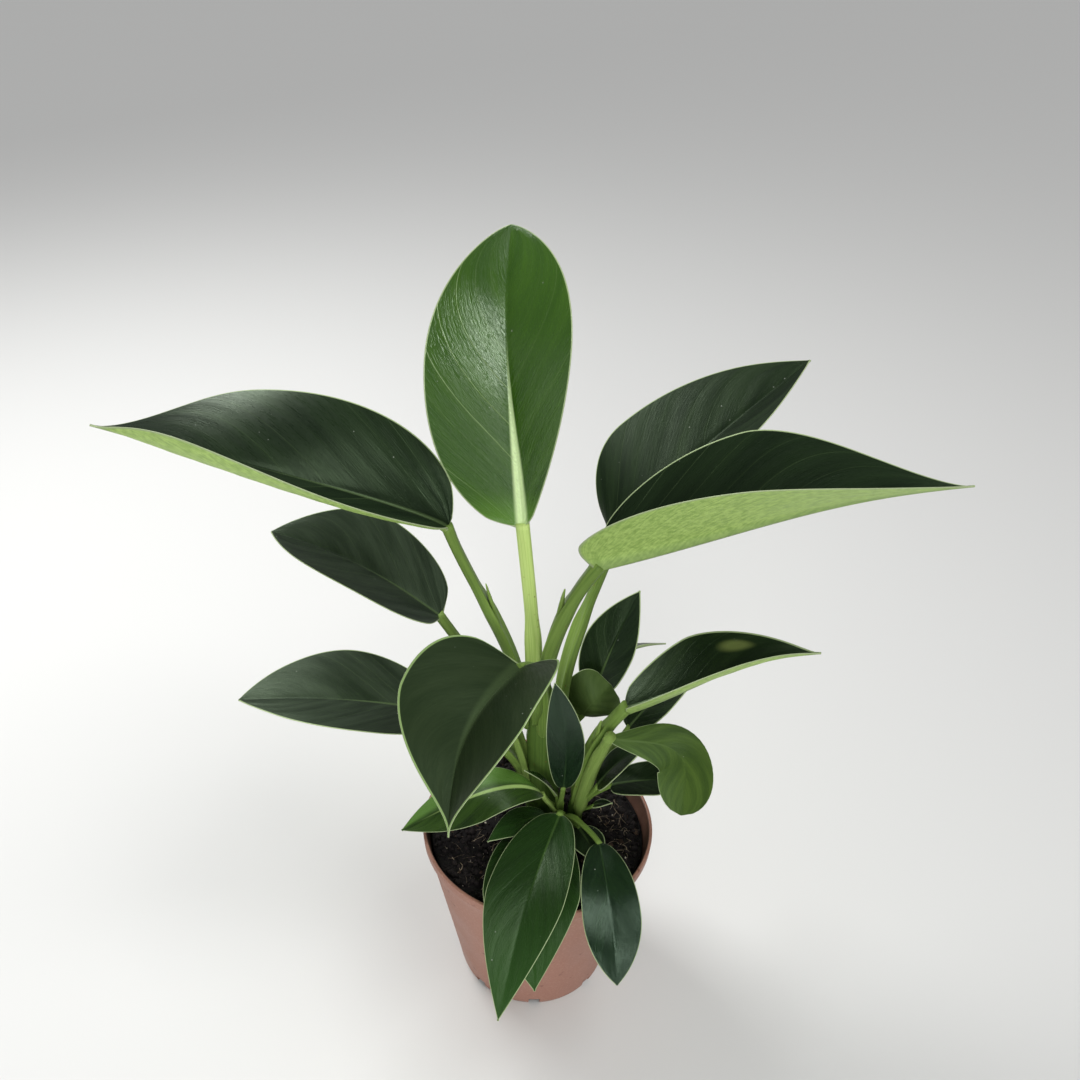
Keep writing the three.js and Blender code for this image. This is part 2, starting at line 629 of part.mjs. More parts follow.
function soilSolid() {
  const clear = 2 * SEAT;        // the flats of the two faceted rings lie closer than their corners
  const wallFoot = WALL_FOOT_RADIUS - WALL - clear;
  const wallTop = WALL_TOP_RADIUS - WALL - clear;
  const slant = (wallTop - wallFoot) / (LIP_UNDERSIDE - FLOOR_TOP - FLOOR_CORNER);
  const topRadius = wallTop - slant * (LIP_UNDERSIDE - SOIL_LEVEL + 3);
  const floor = FLOOR_TOP + SEAT;
  const lathe = lathed([
    [0, floor],
    [wallFoot - FLOOR_CORNER, floor],
    [wallFoot, floor + FLOOR_CORNER],
    [topRadius, SOIL_LEVEL],
    [topRadius * 0.8, SOIL_LEVEL],
    [topRadius * 0.55, SOIL_LEVEL],
    [topRadius * 0.28, SOIL_LEVEL],
    [0, SOIL_LEVEL],
  ], SOIL_SIDES);
  const position = lathe.attributes.position;
  for (let k = 0; k < position.count; k += 1) {
    if (position.getZ(k) > SOIL_LEVEL - 1) {
      position.setZ(k, soilHeight(position.getX(k), position.getY(k)));
    }
  }
  let soil = solidOf(lathe);
  for (const stem of Object.values(SHOOTS)) {
    const radius = stem.radius + SEAT / Math.cos(Math.PI / stem.sides);
    const height = 3 * ROOT_DEPTH;
    const hole = new THREE.CylinderGeometry(radius, radius, height, stem.sides);
    hole.rotateX(Math.PI / 2);
    hole.translate(stem.foot[0], stem.foot[1], stem.foot[2] - SEAT + height / 2);
    soil = soil.subtract(solidOf(hole));
  }
  return soil;
}

// The object

const plant = new THREE.Group();

function place(name, geometry, material) {
  const mesh = new THREE.Mesh(geometry, material);
  mesh.name = name;
  plant.add(mesh);
}

place('pot', geometryOf(potSolid()), finish(COLOURS.pot, 0.55));
place('soil', geometryOf(soilSolid()), finish(COLOURS.soil, 0.95));
for (const [name, stem] of Object.entries(SHOOTS)) {
  const stalks = LEAVES.filter((leaf) => leaf.shoot === name).map(stalkSolid);
  place(name, geometryOf(joined([stemSolid(stem), ...stalks])), finish(COLOURS.stalk, 0.5));
}
for (const leaf of LEAVES) {
  const colour = leaf.young ? COLOURS.youngLeaf : COLOURS.leaf;
  place(leaf.name, bladeGeometry(leaf.blade), finish(colour, 0.35));
}

export default plant;
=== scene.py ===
# %% [markdown]
# # A potted green princess philodendron
#
# This lesson dresses a small houseplant: three leafy shoots in one thin plastic nursery pot. The solids of
# the plant are already placed and sized. Each is replaced here by a finer piece of the same form, and gets
# what the solids leave out: veins, midribs, pale margins, sheaths with grooves, crumbs and fibres.
#
# Everything is in metres, +Z up, with the origin under the middle of the pot. The plant is seen from -Y.

# %% Load the solids
import math
import random

import bmesh
import bpy
from mathutils import Matrix, Vector, noise


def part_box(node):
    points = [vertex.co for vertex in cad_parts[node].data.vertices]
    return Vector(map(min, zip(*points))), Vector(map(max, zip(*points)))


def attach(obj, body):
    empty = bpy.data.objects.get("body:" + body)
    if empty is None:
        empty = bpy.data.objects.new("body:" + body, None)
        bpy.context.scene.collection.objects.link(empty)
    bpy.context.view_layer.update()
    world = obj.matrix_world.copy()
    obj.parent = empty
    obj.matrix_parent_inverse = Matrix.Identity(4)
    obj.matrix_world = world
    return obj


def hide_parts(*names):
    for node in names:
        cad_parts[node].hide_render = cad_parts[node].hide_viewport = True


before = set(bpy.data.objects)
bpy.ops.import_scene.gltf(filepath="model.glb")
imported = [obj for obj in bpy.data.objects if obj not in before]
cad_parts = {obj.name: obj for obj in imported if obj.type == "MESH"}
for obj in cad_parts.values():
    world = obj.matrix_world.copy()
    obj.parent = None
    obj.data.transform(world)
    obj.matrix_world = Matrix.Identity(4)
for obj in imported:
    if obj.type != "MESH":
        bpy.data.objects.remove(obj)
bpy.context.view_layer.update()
print("nodes to dress:", len(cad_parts))

# %% [markdown]
# ## Small helpers
#
# A piece is modelled in a bmesh, which is Blender's editable mesh in memory. When it is done it becomes an
# object at the origin, with smooth faces. It then rides on the plant's one body, and replaces the solid that
# it stands for.

# %% Helpers for every piece
MM = 0.001
BODY = "root"


def lerp(start, end, share):
    return start + (end - start) * share


def smooth_step(low, high, value):
    share = min(max((value - low) / (high - low), 0.0), 1.0)
    return share * share * (3 - 2 * share)


def mesh_from(name, bm):
    """Turns a bmesh into a mesh, and frees it."""
    mesh = bpy.data.meshes.new(name)
    bm.to_mesh(mesh)
    bm.free()
    return mesh


def placed(name, data):
    """Adds an object to the scene that shows a mesh, a light or a camera."""
    made = bpy.data.objects.new(name, data)
    bpy.context.scene.collection.objects.link(made)
    return made


def finished(name, bm, skins, slot, *nodes):
    """Turns a bmesh into a smooth piece with its skins, and hides the solids that it stands for."""
    piece = placed(name, mesh_from(name, bm))
    for polygon in piece.data.polygons:
        polygon.use_smooth = True
    for skin in skins:
        piece.data.materials.append(skin)
    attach(piece, BODY)
    if nodes:
        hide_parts(*nodes)
    return piece


# %% [markdown]
# ## The camera
#
# The photograph looks down on the plant, as from a phone held a little above it. A pinhole camera was fitted
# to the ellipses of the pot's rim and foot, which gives the eye's place, how far it looks down, and its
# slight roll. The focal length is taken as a usual phone's, in pixels of the square picture, and a lens in
# millimetres follows from the width of the sensor.

# %% Set the camera
PICTURE_PIXELS = 1080
FOCAL_PIXELS = 1060
SENSOR_WIDTH = 36.0
EYE = Vector((-0.0048, -0.380, 0.531))
LOOK_DOWN = math.radians(33.8)
ROLL = math.radians(2.3)

camera = placed("camera", bpy.data.cameras.new("camera"))
camera.data.sensor_width = SENSOR_WIDTH
camera.data.lens = SENSOR_WIDTH * FOCAL_PIXELS / PICTURE_PIXELS
tilt = Matrix.Rotation(math.pi / 2 - LOOK_DOWN, 4, "X")
camera.matrix_world = Matrix.Translation(EYE) @ tilt @ Matrix.Rotation(ROLL, 4, "Z")
bpy.context.scene.camera = camera
print("lens, in millimetres:", round(camera.data.lens, 2))

# %% [markdown]
# ## The studio
#
# Glossy leaves show what stands round them, so the lights are large and soft: a window at the left and a
# little behind, which throws the shadows to the right, and a tall narrow one behind the camera, which draws
# the white gloss on the upright leaf. A wide sky light high up comes from far away, so it lights the floor as
# evenly far off as close by. The floor is plain, pale and so wide that no edge of it shows. The standard
# view keeps the deep greens deep.

# %% Lights
AIM = Vector((0, 0, 0.2))
SKY_SPREAD = math.radians(38)


def aimed_light(name, kind, azimuth, elevation, distance, energy):
    """A light that faces the plant. Azimuth 0 is behind it, 90 to its right, 180 at its front."""
    lamp = placed(name, bpy.data.lights.new(name, kind))
    lamp.data.energy = energy
    turn = math.radians(azimuth)
    lift = math.radians(elevation)
    away = Vector((math.sin(turn) * math.cos(lift), math.cos(turn) * math.cos(lift), math.sin(lift)))
    lamp.location = AIM + away * distance
    lamp.rotation_euler = away.to_track_quat("Z", "Y").to_euler()
    lamp.visible_camera = False
    return lamp


def softbox(name, width, height, **aim):
    """A flat light of the given size."""
    lamp = aimed_light(name, "AREA", **aim)
    lamp.data.shape = "RECTANGLE"
    lamp.data.size = width
    lamp.data.size_y = height


softbox("window_light", width=0.5, height=0.5, azimuth=-50, elevation=46, distance=1.2, energy=12)
softbox("low_light", width=0.2, height=1.0, azimuth=186, elevation=16, distance=1.3, energy=10)
sky_light = aimed_light("sky_light", "SUN", azimuth=121, elevation=64, distance=1.2, energy=1.5)
sky_light.data.angle = SKY_SPREAD

# %% World and floor
WORLD_COLOUR = (0.96, 0.97, 1.0, 1)
WORLD_STRENGTH = 0.24
FLOOR_COLOUR = (0.64, 0.64, 0.625, 1)
FLOOR_ROUGHNESS = 0.7
FLOOR_SIZE = 40.0

world = bpy.data.worlds.new("studio")
world.use_nodes = True
background = world.node_tree.nodes["Background"]
background.inputs["Color"].default_value = WORLD_COLOUR
background.inputs["Strength"].default_value = WORLD_STRENGTH
bpy.context.scene.world = world
bpy.context.scene.view_settings.view_transform = "Standard"

floor_skin = bpy.data.materials.new("pale_floor")
floor_skin.use_nodes = True
floor_shader = floor_skin.node_tree.nodes["Principled BSDF"]
floor_shader.inputs["Base Color"].default_value = FLOOR_COLOUR
floor_shader.inputs["Roughness"].default_value = FLOOR_ROUGHNESS

bm = bmesh.new()
bmesh.ops.create_grid(bm, x_segments=1, y_segments=1, size=FLOOR_SIZE / 2)
floor = placed("floor", mesh_from("floor", bm))
floor.data.materials.append(floor_skin)
print("floor, in metres:", FLOOR_SIZE)

# %% [markdown]
# ## Writing materials in code
#
# A material is a tree of nodes. Short helpers keep the trees readable. The main ones add a node and wire its
# inputs, calculate, fade a value from one number to another, mix two colours, and read a cloudy or a
# streaked noise. A pattern on Object coordinates stays where it is on the piece.

# %% Helpers for materials


def add(skin, kind, inputs=None, **settings):
    """Adds a node. A socket given as an input is wired, and anything else is set."""
    made = skin.node_tree.nodes.new(kind)
    for key, value in settings.items():
        setattr(made, key, value)
    for key, value in (inputs or {}).items():
        if isinstance(value, bpy.types.NodeSocket):
            skin.node_tree.links.new(value, made.inputs[key])
        else:
            made.inputs[key].default_value = value
    return made


def calculate(skin, operation, *values):
    return add(skin, "ShaderNodeMath", dict(enumerate(values)), operation=operation).outputs[0]


def times(skin, value, factor):
    return calculate(skin, "MULTIPLY", value, factor)


def fade(skin, value, start, end, low=0.0, high=1.0):
    """Runs smoothly from low to high while the value runs from start to end."""
    inputs = {0: value, 1: start, 2: end, 3: low, 4: high}
    return add(skin, "ShaderNodeMapRange", inputs, interpolation_type="SMOOTHSTEP").outputs[0]


def blend(skin, share, first, second):
    """Mixes two colours. Each is a socket or three numbers."""
    inputs = {0: share}
    for key, colour in ((6, first), (7, second)):
        inputs[key] = colour if isinstance(colour, bpy.types.NodeSocket) else (*colour, 1)
    return add(skin, "ShaderNodeMix", inputs, data_type="RGBA").outputs[2]


def on_object(skin):
    """The place of a point on the object itself."""
    return add(skin, "ShaderNodeTexCoord").outputs["Object"]


def attribute(skin, name):
    """The three numbers that a piece keeps at each of its points under this name."""
    found = add(skin, "ShaderNodeAttribute", attribute_name=name)
    split = add(skin, "ShaderNodeSeparateXYZ", {0: found.outputs["Vector"]})
    return split.outputs[0], split.outputs[1], split.outputs[2]


def joined(skin, x, y, z):
    return add(skin, "ShaderNodeCombineXYZ", {0: x, 1: y, 2: z}).outputs[0]


def mottle(skin, place, scale, detail=2.0, roughness=0.5):
    """Cloudy noise between 0 and 1."""
    inputs = {"Vector": place, "Scale": scale, "Detail": detail, "Roughness": roughness}
    return add(skin, "ShaderNodeTexNoise", inputs).outputs[0]


def streaked(skin, across, along, key, fineness, detail=2.0):
    """Noise drawn out into streaks: fineness is how often it varies across them and along them."""
    place = joined(skin, times(skin, across, fineness[0]), times(skin, along, fineness[1]), key)
    return mottle(skin, place, 1, detail)


def new_skin(name, roughness, specular):
    skin = bpy.data.materials.new(name)
    skin.use_nodes = True
    shader = skin.node_tree.nodes["Principled BSDF"]
    shader.inputs["Roughness"].default_value = roughness
    shader.inputs["Specular IOR Level"].default_value = specular
    return skin, shader


def relief(skin, shader, height, distance, strength=1.0):
    inputs = {"Height": height, "Distance": distance, "Strength": strength}
    bump = add(skin, "ShaderNodeBump", inputs)
    skin.node_tree.links.new(bump.outputs[0], shader.inputs["Normal"])


def wire(skin, shader, **inputs):
    for key, value in inputs.items():
        skin.node_tree.links.new(value, shader.inputs[key.replace("_", " ")])


# %% [markdown]
# ## The pot
#
# The pot is a thin moulded nursery pot in dusty terracotta plastic. Its wall tapers, its lip is a slim
# step, and it stands on a notched ring. A pot like this is a shape of revolution, so its outline is drawn
# once and spun. The outline could be a smooth curve with a modifier for thickness, but the lip and foot
# are steps, so it is drawn as one closed outline with a short curve at each corner. The notches and drain
# holes are then cut through.

# %% Pot plastic
INNER_SHADE_DEPTH = 1.5 * MM   # depth under the tapering outer face where the painted shade of the inner face begins
CLAY = (0.265, 0.125, 0.090)
LIGHT_CLAY = (0.345, 0.174, 0.127)
DUST = (0.50, 0.31, 0.24)
RUST = (0.11, 0.035, 0.02)
# painted shade: the dark brown that the pot's inner face is darkened to, standing in for the shadow inside
# the pot
PAINTED_INNER_SHADE = (0.060, 0.034, 0.024)
MOULD_RINGS = (8, 8, 420)


def pot_plastic(foot_radius, rim_radius, height):
    """Matt pink-brown plastic: cloudy, faintly ringed from the mould, with a few rusty stains, and painted
    shade on its inner face.
    """
    skin, shader = new_skin("pot_plastic", roughness=0.5, specular=0.35)
    place = on_object(skin)
    cloud = mottle(skin, place, 35, detail=4)
    grain = mottle(skin, place, 900)
    ringed = add(skin, "ShaderNodeMapping", {0: place, 3: MOULD_RINGS}).outputs[0]
    rings = mottle(skin, ringed, 1, detail=1)
    rust = fade(skin, mottle(skin, place, 150), 0.66, 0.74)
    plain = blend(skin, cloud, CLAY, LIGHT_CLAY)
    dusty = blend(skin, fade(skin, grain, 0.45, 0.75, 0, 0.25), plain, DUST)
    colour = blend(skin, times(skin, rust, 0.6), dusty, RUST)
    # Painted shade: the inner face of the wall is darkened, a little unevenly, where shadow falls inside the
    # pot.
    x, y, z = add(skin, "ShaderNodeSeparateXYZ", {0: place}).outputs
    from_axis = add(skin, "ShaderNodeVectorMath", {0: joined(skin, x, y, 0.0)}, operation="LENGTH")
    taper = (rim_radius - foot_radius) / height
    inner = calculate(skin, "MULTIPLY_ADD", z, taper, foot_radius - INNER_SHADE_DEPTH)
    depth = calculate(skin, "SUBTRACT", inner, from_axis.outputs["Value"])
    inside = fade(skin, depth, -0.1 * MM, 0.2 * MM)
    inner_shade_share = times(skin, inside, fade(skin, cloud, 0.2, 0.6, 0.55, 0.95))
    colour = blend(skin, inner_shade_share, colour, PAINTED_INNER_SHADE)
    wire(skin, shader, Base_Color=colour, Roughness=fade(skin, cloud, 0.3, 0.7, 0.42, 0.6))
    bumps = calculate(skin, "MULTIPLY_ADD", rings, 0.6, grain)
    relief(skin, shader, bumps, 0.06 * MM, 0.6)
    return skin


# %% The pot's outline, spun
pot_low, pot_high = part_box("pot")
POT_HEIGHT = pot_high[2] - pot_low[2]
RIM_RADIUS = (pot_high[0] - pot_low[0]) / 2
FOOT_RADIUS = RIM_RADIUS * 2 / 3
WALL = 1.2 * MM
FLOOR_HEIGHT = 6 * MM
RING_WIDTH = 2.4 * MM
LIP_HEIGHT = 6 * MM
LIP_STEP = 1.8 * MM
WALL_TOP = RIM_RADIUS - LIP_STEP
WALL_FOOT = FOOT_RADIUS + 0.8 * MM
LIP_WIDTH = 1.9 * MM
CENTRE_FOOT = 9 * MM      # radius of the flat foot under the middle
SLOPE = 1 * MM            # how far the underside's steps slope, to leave the mould
INNER_CORNER = 3.2 * MM   # where the slanted inner corner starts, from the wall's and floor's outer faces
CORNER_CURVE = 0.7 * MM
EDGE_TO_CURVE = 2.2       # an edge is at least this many times as long as the curve at its end
LONGEST_STRETCH = 6 * MM
POT_SIDES = 144
print("rim radius and height, in metres:", round(RIM_RADIUS, 4), round(POT_HEIGHT, 4))


def spun(outline, sides):
    """Spins an outline of (radius, height) points, with both ends on the axis, into a closed shape."""
    bm = bmesh.new()
    corners = [bm.verts.new((radius, 0, height)) for radius, height in outline]
    edges = [bm.edges.new(pair) for pair in zip(corners, corners[1:])]
    bmesh.ops.spin(
        bm, geom=corners + edges, cent=(0, 0, 0), axis=(0, 0, 1), dvec=(0, 0, 0),
        angle=2 * math.pi, steps=sides, use_merge=True)
    bmesh.ops.remove_doubles(bm, verts=bm.verts[:], dist=1e-6)
    bmesh.ops.recalc_face_normals(bm, faces=bm.faces[:])
    return bm


def rounded(outline, radius, steps=3):
    """The outline with each inner corner replaced by a short curve of the given size."""
    points = [outline[0]]
    for before, corner, after in zip(outline, outline[1:], outline[2:]):
        here = Vector(corner)
        back = Vector(before) - here
        onward = Vector(after) - here
        start = here + back.normalized() * min(radius, back.length / EDGE_TO_CURVE)
        end = here + onward.normalized() * min(radius, onward.length / EDGE_TO_CURVE)
        for k in range(steps + 1):
            t = k / steps
            points.append(tuple(start * (1 - t) ** 2 + here * 2 * t * (1 - t) + end * t ** 2))
    return points + [outline[-1]]


def stepped(outline, longest):
    """The outline with its long stretches divided, so that the wall can be uneven."""
    points = [outline[0]]
    for before, after in zip(outline, outline[1:]):
        count = max(1, math.ceil((Vector(after) - Vector(before)).length / longest))
        points += [tuple(Vector(before).lerp(Vector(after), k / count)) for k in range(1, count + 1)]
    return points


LIP_UNDER = POT_HEIGHT - LIP_HEIGHT
pot_outline = rounded([
    (0, 0),
    (CENTRE_FOOT, 0),
    (CENTRE_FOOT + SLOPE, FLOOR_HEIGHT),
    (FOOT_RADIUS - RING_WIDTH - SLOPE, FLOOR_HEIGHT),
    (FOOT_RADIUS - RING_WIDTH, 0),
    (FOOT_RADIUS, 0),
    (WALL_FOOT, 2 * MM),
    (WALL_TOP, LIP_UNDER),
    (RIM_RADIUS - 0.3 * MM, LIP_UNDER + 0.4 * MM),
    (RIM_RADIUS, POT_HEIGHT),
    (RIM_RADIUS - LIP_WIDTH, POT_HEIGHT),
    (WALL_TOP - WALL, LIP_UNDER),
    (WALL_FOOT - WALL, FLOOR_HEIGHT + INNER_CORNER),
    (WALL_FOOT - INNER_CORNER, FLOOR_HEIGHT + WALL),
    (0, FLOOR_HEIGHT + WALL),
], CORNER_CURVE)
bm = spun(stepped(pot_outline, LONGEST_STRETCH), POT_SIDES)

# %% An uneven wall
# Thin plastic is never quite round: the wall wavers by a few tenths of a millimetre.
UNEVEN = 0.35 * MM
INSIDE_RING = FOOT_RADIUS - 3 * MM
for vert in bm.verts:
    radius = math.hypot(vert.co.x, vert.co.y)
    if radius > INSIDE_RING:
        sway = noise.noise(Vector((vert.co.x * 28, vert.co.y * 28, vert.co.z * 14)))
        share = smooth_step(0, 0.02, vert.co.z) * (1 - smooth_step(0.9, 1.0, vert.co.z / POT_HEIGHT) * 0.6)
        vert.co.xy *= 1 - UNEVEN * share * (0.5 + 0.5 * sway) / radius
plastic = pot_plastic(WALL_FOOT, RIM_RADIUS, POT_HEIGHT)
pot_shell = finished("pot_shell", bm, [plastic], "pot_plastic", "pot")


# %% Notches and drain holes
def cut(piece, name, shapes):
    """Cuts closed shapes, given as a bmesh, out of a piece."""
    knife = placed(name, mesh_from(name, shapes))
    modifier = piece.modifiers.new(name, "BOOLEAN")
    modifier.operation = "DIFFERENCE"
    modifier.solver = "EXACT"
    modifier.object = knife
    bpy.context.view_layer.update()
    solved = piece.evaluated_get(bpy.context.evaluated_depsgraph_get())
    cut_mesh = bpy.data.meshes.new_from_object(solved)
    piece.modifiers.clear()
    piece.data = cut_mesh
    bpy.data.objects.remove(knife)


NOTCHES = 8
NOTCH_WIDTH = 6 * MM
NOTCH_HEIGHT = 5 * MM
NOTCH_TURN = 0.05
DRAINS = 6
DRAIN_RADIUS = 3.5 * MM
DRAIN_RING = 24 * MM
SHARP_ANGLE = math.radians(35)

knives = bmesh.new()
for k in range(NOTCHES):
    turn = Matrix.Rotation(NOTCH_TURN + 2 * math.pi * k / NOTCHES, 4, "Z")
    size = Matrix.Diagonal((NOTCH_WIDTH, 4 * RING_WIDTH, 2 * NOTCH_HEIGHT, 1))
    bmesh.ops.create_cube(knives, size=1, matrix=turn @ Matrix.Translation((0, -FOOT_RADIUS, 0)) @ size)
for k in range(DRAINS):
    turn = Matrix.Rotation(2 * math.pi * k / DRAINS, 4, "Z")
    bmesh.ops.create_cone(
        knives, cap_ends=True, segments=32, radius1=DRAIN_RADIUS, radius2=DRAIN_RADIUS,
        depth=3 * FLOOR_HEIGHT, matrix=turn @ Matrix.Translation((DRAIN_RING, 0, FLOOR_HEIGHT)))
cut(pot_shell, "pot_knives", knives)
pot_shell.data.polygons.foreach_set("use_smooth", [True] * len(pot_shell.data.polygons))
pot_shell.data.set_sharp_from_angle(angle=SHARP_ANGLE)
print("pot faces:", len(pot_shell.data.polygons))

# %% [markdown]
# ## The potting mix
#
# The mix is nearly black, moist and crumbly, with bark, pale fibres, a few roots and a tangle near the rim.
# It could be one bumpy disc, but loose bits catch the light one by one. So a spun bed carries the same gentle
# lumps as the solid, noise makes it crumbly, and crumbs, chips and fibres are strewn over it with a seeded
# draw.

# %% Mix, crumb and fibre skins


def soil_skin(name, dark, light, roughness=0.9):
    skin, shader = new_skin(name, roughness, specular=0.25)
    place = on_object(skin)
    coarse = mottle(skin, place, 420, detail=5, roughness=0.7)
    fine = mottle(skin, place, 2200)
    tone = fade(skin, calculate(skin, "MULTIPLY_ADD", fine, 0.5, coarse), 0.5, 1.05)
    wire(skin, shader, Base_Color=blend(skin, tone, dark, light))
    relief(skin, shader, calculate(skin, "ADD", coarse, fine), 0.3 * MM)
    return skin


mix_skin = soil_skin("moist_mix", (0.002, 0.002, 0.002), (0.012, 0.009, 0.009))
crumb_skin = soil_skin("crumbs", (0.003, 0.0025, 0.003), (0.023, 0.017, 0.016))
chip_skin = soil_skin("bark_chips", (0.014, 0.008, 0.006), (0.090, 0.056, 0.036))
fibre_skin = soil_skin("fibres", (0.045, 0.030, 0.020), (0.44, 0.35, 0.25), roughness=0.75)
grit_skin = soil_skin("pale_grit", (0.35, 0.30, 0.22), (0.62, 0.58, 0.50), roughness=0.8)

# %% The bed of mix
SOIL_LEVEL = 92 * MM
BED_GAP = 1.6 * MM        # between the mix and the wall, at the top
BED_QUAD = 1.1 * MM       # size of a quad along the bed's outline
BED_SIDES = 220
EDGE_DROP = 0.8 * MM      # how far the mix sinks at the wall
soil_low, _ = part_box("soil")
SOIL_BASE = soil_low[2]
BED_RADIUS = WALL_TOP - WALL - BED_GAP
# Where each stem stands and ends, and its radius at both.
STEMS = {
    "main": {"foot": (0.002, 0.021, 0.080), "top": (-0.001, 0.021, 0.192), "radii": (0.0098, 0.0074)},
    "right": {"foot": (0.019, 0.011, 0.080), "top": (0.021, 0.009, 0.112), "radii": (0.0046, 0.0036)},
    "front": {"foot": (0.011, 0.005, 0.080), "top": (0.011, 0.003, 0.106), "radii": (0.0034, 0.0026)},
}


def soil_height(x, y):
    """The gentle slope and lumps that the solid has too."""
    along, back = x / MM, y / MM
    lumps = 0.7 * math.sin(0.21 * along + 1.3) * math.cos(0.17 * back) + 0.5 * math.sin(0.33 * (along + back))
    return SOIL_LEVEL + (-0.03 * along - 0.015 * back + lumps) * MM


def crumbly(x, y):
    """The crumbs that are too small to lie loose."""
    coarse = noise.noise(Vector((x * 260, y * 260, 0.3)))
    fine = noise.noise(Vector((x * 720, y * 720, 4.1)))
    return (0.9 * coarse + 0.45 * fine) * MM


bed_outline = [
    (0, SOIL_BASE),
    (WALL_FOOT - 4 * MM, SOIL_BASE),
    (WALL_FOOT - 2 * MM, SOIL_BASE + 2 * MM),
    (BED_RADIUS, SOIL_LEVEL),
    (0, SOIL_LEVEL),
]
bm = spun(stepped(bed_outline, BED_QUAD), BED_SIDES)
for vert in bm.verts:
    if vert.co.z > SOIL_LEVEL - 0.1 * MM:
        x, y = vert.co.xy
        edge = smooth_step(1.0, 0.93, math.hypot(x, y) / BED_RADIUS)
        vert.co.z = soil_height(x, y) + crumbly(x, y) - (1 - edge) * EDGE_DROP
finished("mix_bed", bm, [mix_skin], "potting_mix", "soil")

# %% Strewing copies of a small shape


def strew(name, skin, template, count, seed, place):
    """Copies a small bmesh many times into one piece. place() moves the points of each copy."""
    draw = random.Random(seed)
    small = mesh_from("small_shape", template)
    bm = bmesh.new()
    for _ in range(count):
        start = len(bm.verts)
        bm.from_mesh(small)
        bm.verts.ensure_lookup_table()
        place(bm.verts[start:], draw)
    bpy.data.meshes.remove(small)
    finished(name, bm, [skin], "potting_mix")


def spot_on_bed(draw, margin, start=0.0, end=2 * math.pi, inner=0.0):
    """A random spot on the mix, or on a part of it near the rim, that isn't inside a stem."""
    while True:
        turn = draw.uniform(start, end)
        radius = (BED_RADIUS - margin) * math.sqrt(lerp(inner ** 2, 1, draw.random()))
        x, y = radius * math.cos(turn), radius * math.sin(turn)
        if all(math.hypot(x - s["foot"][0], y - s["foot"][1]) > s["radii"][0] for s in STEMS.values()):
            return Vector((x, y, soil_height(x, y) + crumbly(x, y)))


# %% Crumbs, chips and grit
LUMP_TURN = 6.28          # a lump's random turn, in radians
LUMP_LEAN = 0.6
DENT = 0.35


def lump_placer(smallest, largest, flatness, margin):
    """Places a round template as a lump: turned, stretched and dented at random."""
    def place(verts, draw):
        size = lerp(smallest, largest, draw.random() ** 2)
        turn = Matrix.Rotation(draw.uniform(0, LUMP_TURN), 3, "Z")
        turn = turn @ Matrix.Rotation(draw.uniform(-LUMP_LEAN, LUMP_LEAN), 3, "X")
        stretch = Matrix.Diagonal((size, size * draw.uniform(0.5, 0.9), size * flatness))
        spot = spot_on_bed(draw, margin) + Vector((0, 0, size * flatness * 0.4))
        for vert in verts:
            dent = 1 + DENT * noise.noise(vert.co * 1.7 + spot * 900)
            vert.co = turn @ (stretch @ (vert.co * dent)) + spot
    return place


def ball():
    """A ball of 20 faces, which is enough for something so small."""
    bm = bmesh.new()
    bmesh.ops.create_icosphere(bm, subdivisions=1, radius=1)
    return bm


strew("crumbs_on_mix", crumb_skin, ball(), 2100, 11, lump_placer(0.35 * MM, 2.3 * MM, 0.75, 1.2 * MM))
strew("bark_on_mix", chip_skin, ball(), 150, 12, lump_placer(0.7 * MM, 2.6 * MM, 0.35, 2 * MM))
strew("grit_on_mix", grit_skin, ball(), 70, 13, lump_placer(0.3 * MM, 0.95 * MM, 0.6, 1.2 * MM))
print("strewn on the mix: crumbs, bark and grit")

# %% Fibres and roots


def upright_tube(bm, sides, steps):
    """Adds a tube from 0 to 1 along Z, divided along its length, and gives its points, ready to be bent."""
    older_verts = len(bm.verts)
    older_edges = len(bm.edges)
    lift = Matrix.Translation((0, 0, 0.5))
    bmesh.ops.create_cone(bm, cap_ends=True, segments=sides, radius1=1, radius2=1, depth=1, matrix=lift)
    bm.edges.ensure_lookup_table()
    long_edges = [e for e in bm.edges[older_edges:] if abs(e.verts[0].co.z - e.verts[1].co.z) > 0.5]
    bmesh.ops.subdivide_edges(bm, edges=long_edges, cuts=steps - 1)
    bm.verts.ensure_lookup_table()
    return bm.verts[older_verts:]


def thread(steps):
    """A straight thread with four sides."""
    bm = bmesh.new()
    upright_tube(bm, 4, steps)
    return bm


STRAIGHT = 0.05           # an arc of a smaller angle than this, in radians, is laid as a line


def fibre_placer(shortest, longest, thickness, curl, lift, **part):
    """Bends a thread into a flat arc that lies on the mix, with its middle a little raised."""
    def place(verts, draw):
        length = draw.uniform(shortest, longest)
        bend = draw.uniform(-curl, curl)
        heading = draw.uniform(0, 2 * math.pi)
        width = thickness * draw.uniform(0.6, 1.3)
        raised = lift * draw.random()
        spot = spot_on_bed(draw, 2 * MM + longest * 0.4, **part)
        for vert in verts:
            along = vert.co.z
            turned = bend * (along - 0.5)
            angle = heading + turned
            if abs(bend) > STRAIGHT:
                forward = length / bend * math.sin(turned)
                aside = length / bend * (1 - math.cos(turned))
            else:
                forward, aside = length * (along - 0.5), 0.0
            x = spot.x + forward * math.cos(heading) - aside * math.sin(heading)
            y = spot.y + forward * math.sin(heading) + aside * math.cos(heading)
            thin = width * (0.35 + 0.65 * math.sin(math.pi * min(max(along, 0.06), 0.94)))
            out = vert.co.x * thin
            height = soil_height(x, y) + crumbly(x, y) * 0.5
            rise = raised * math.sin(math.pi * along) + vert.co.y * thin + 0.5 * thickness
            vert.co = (x - out * math.sin(angle), y + out * math.cos(angle), height + rise)
    return place


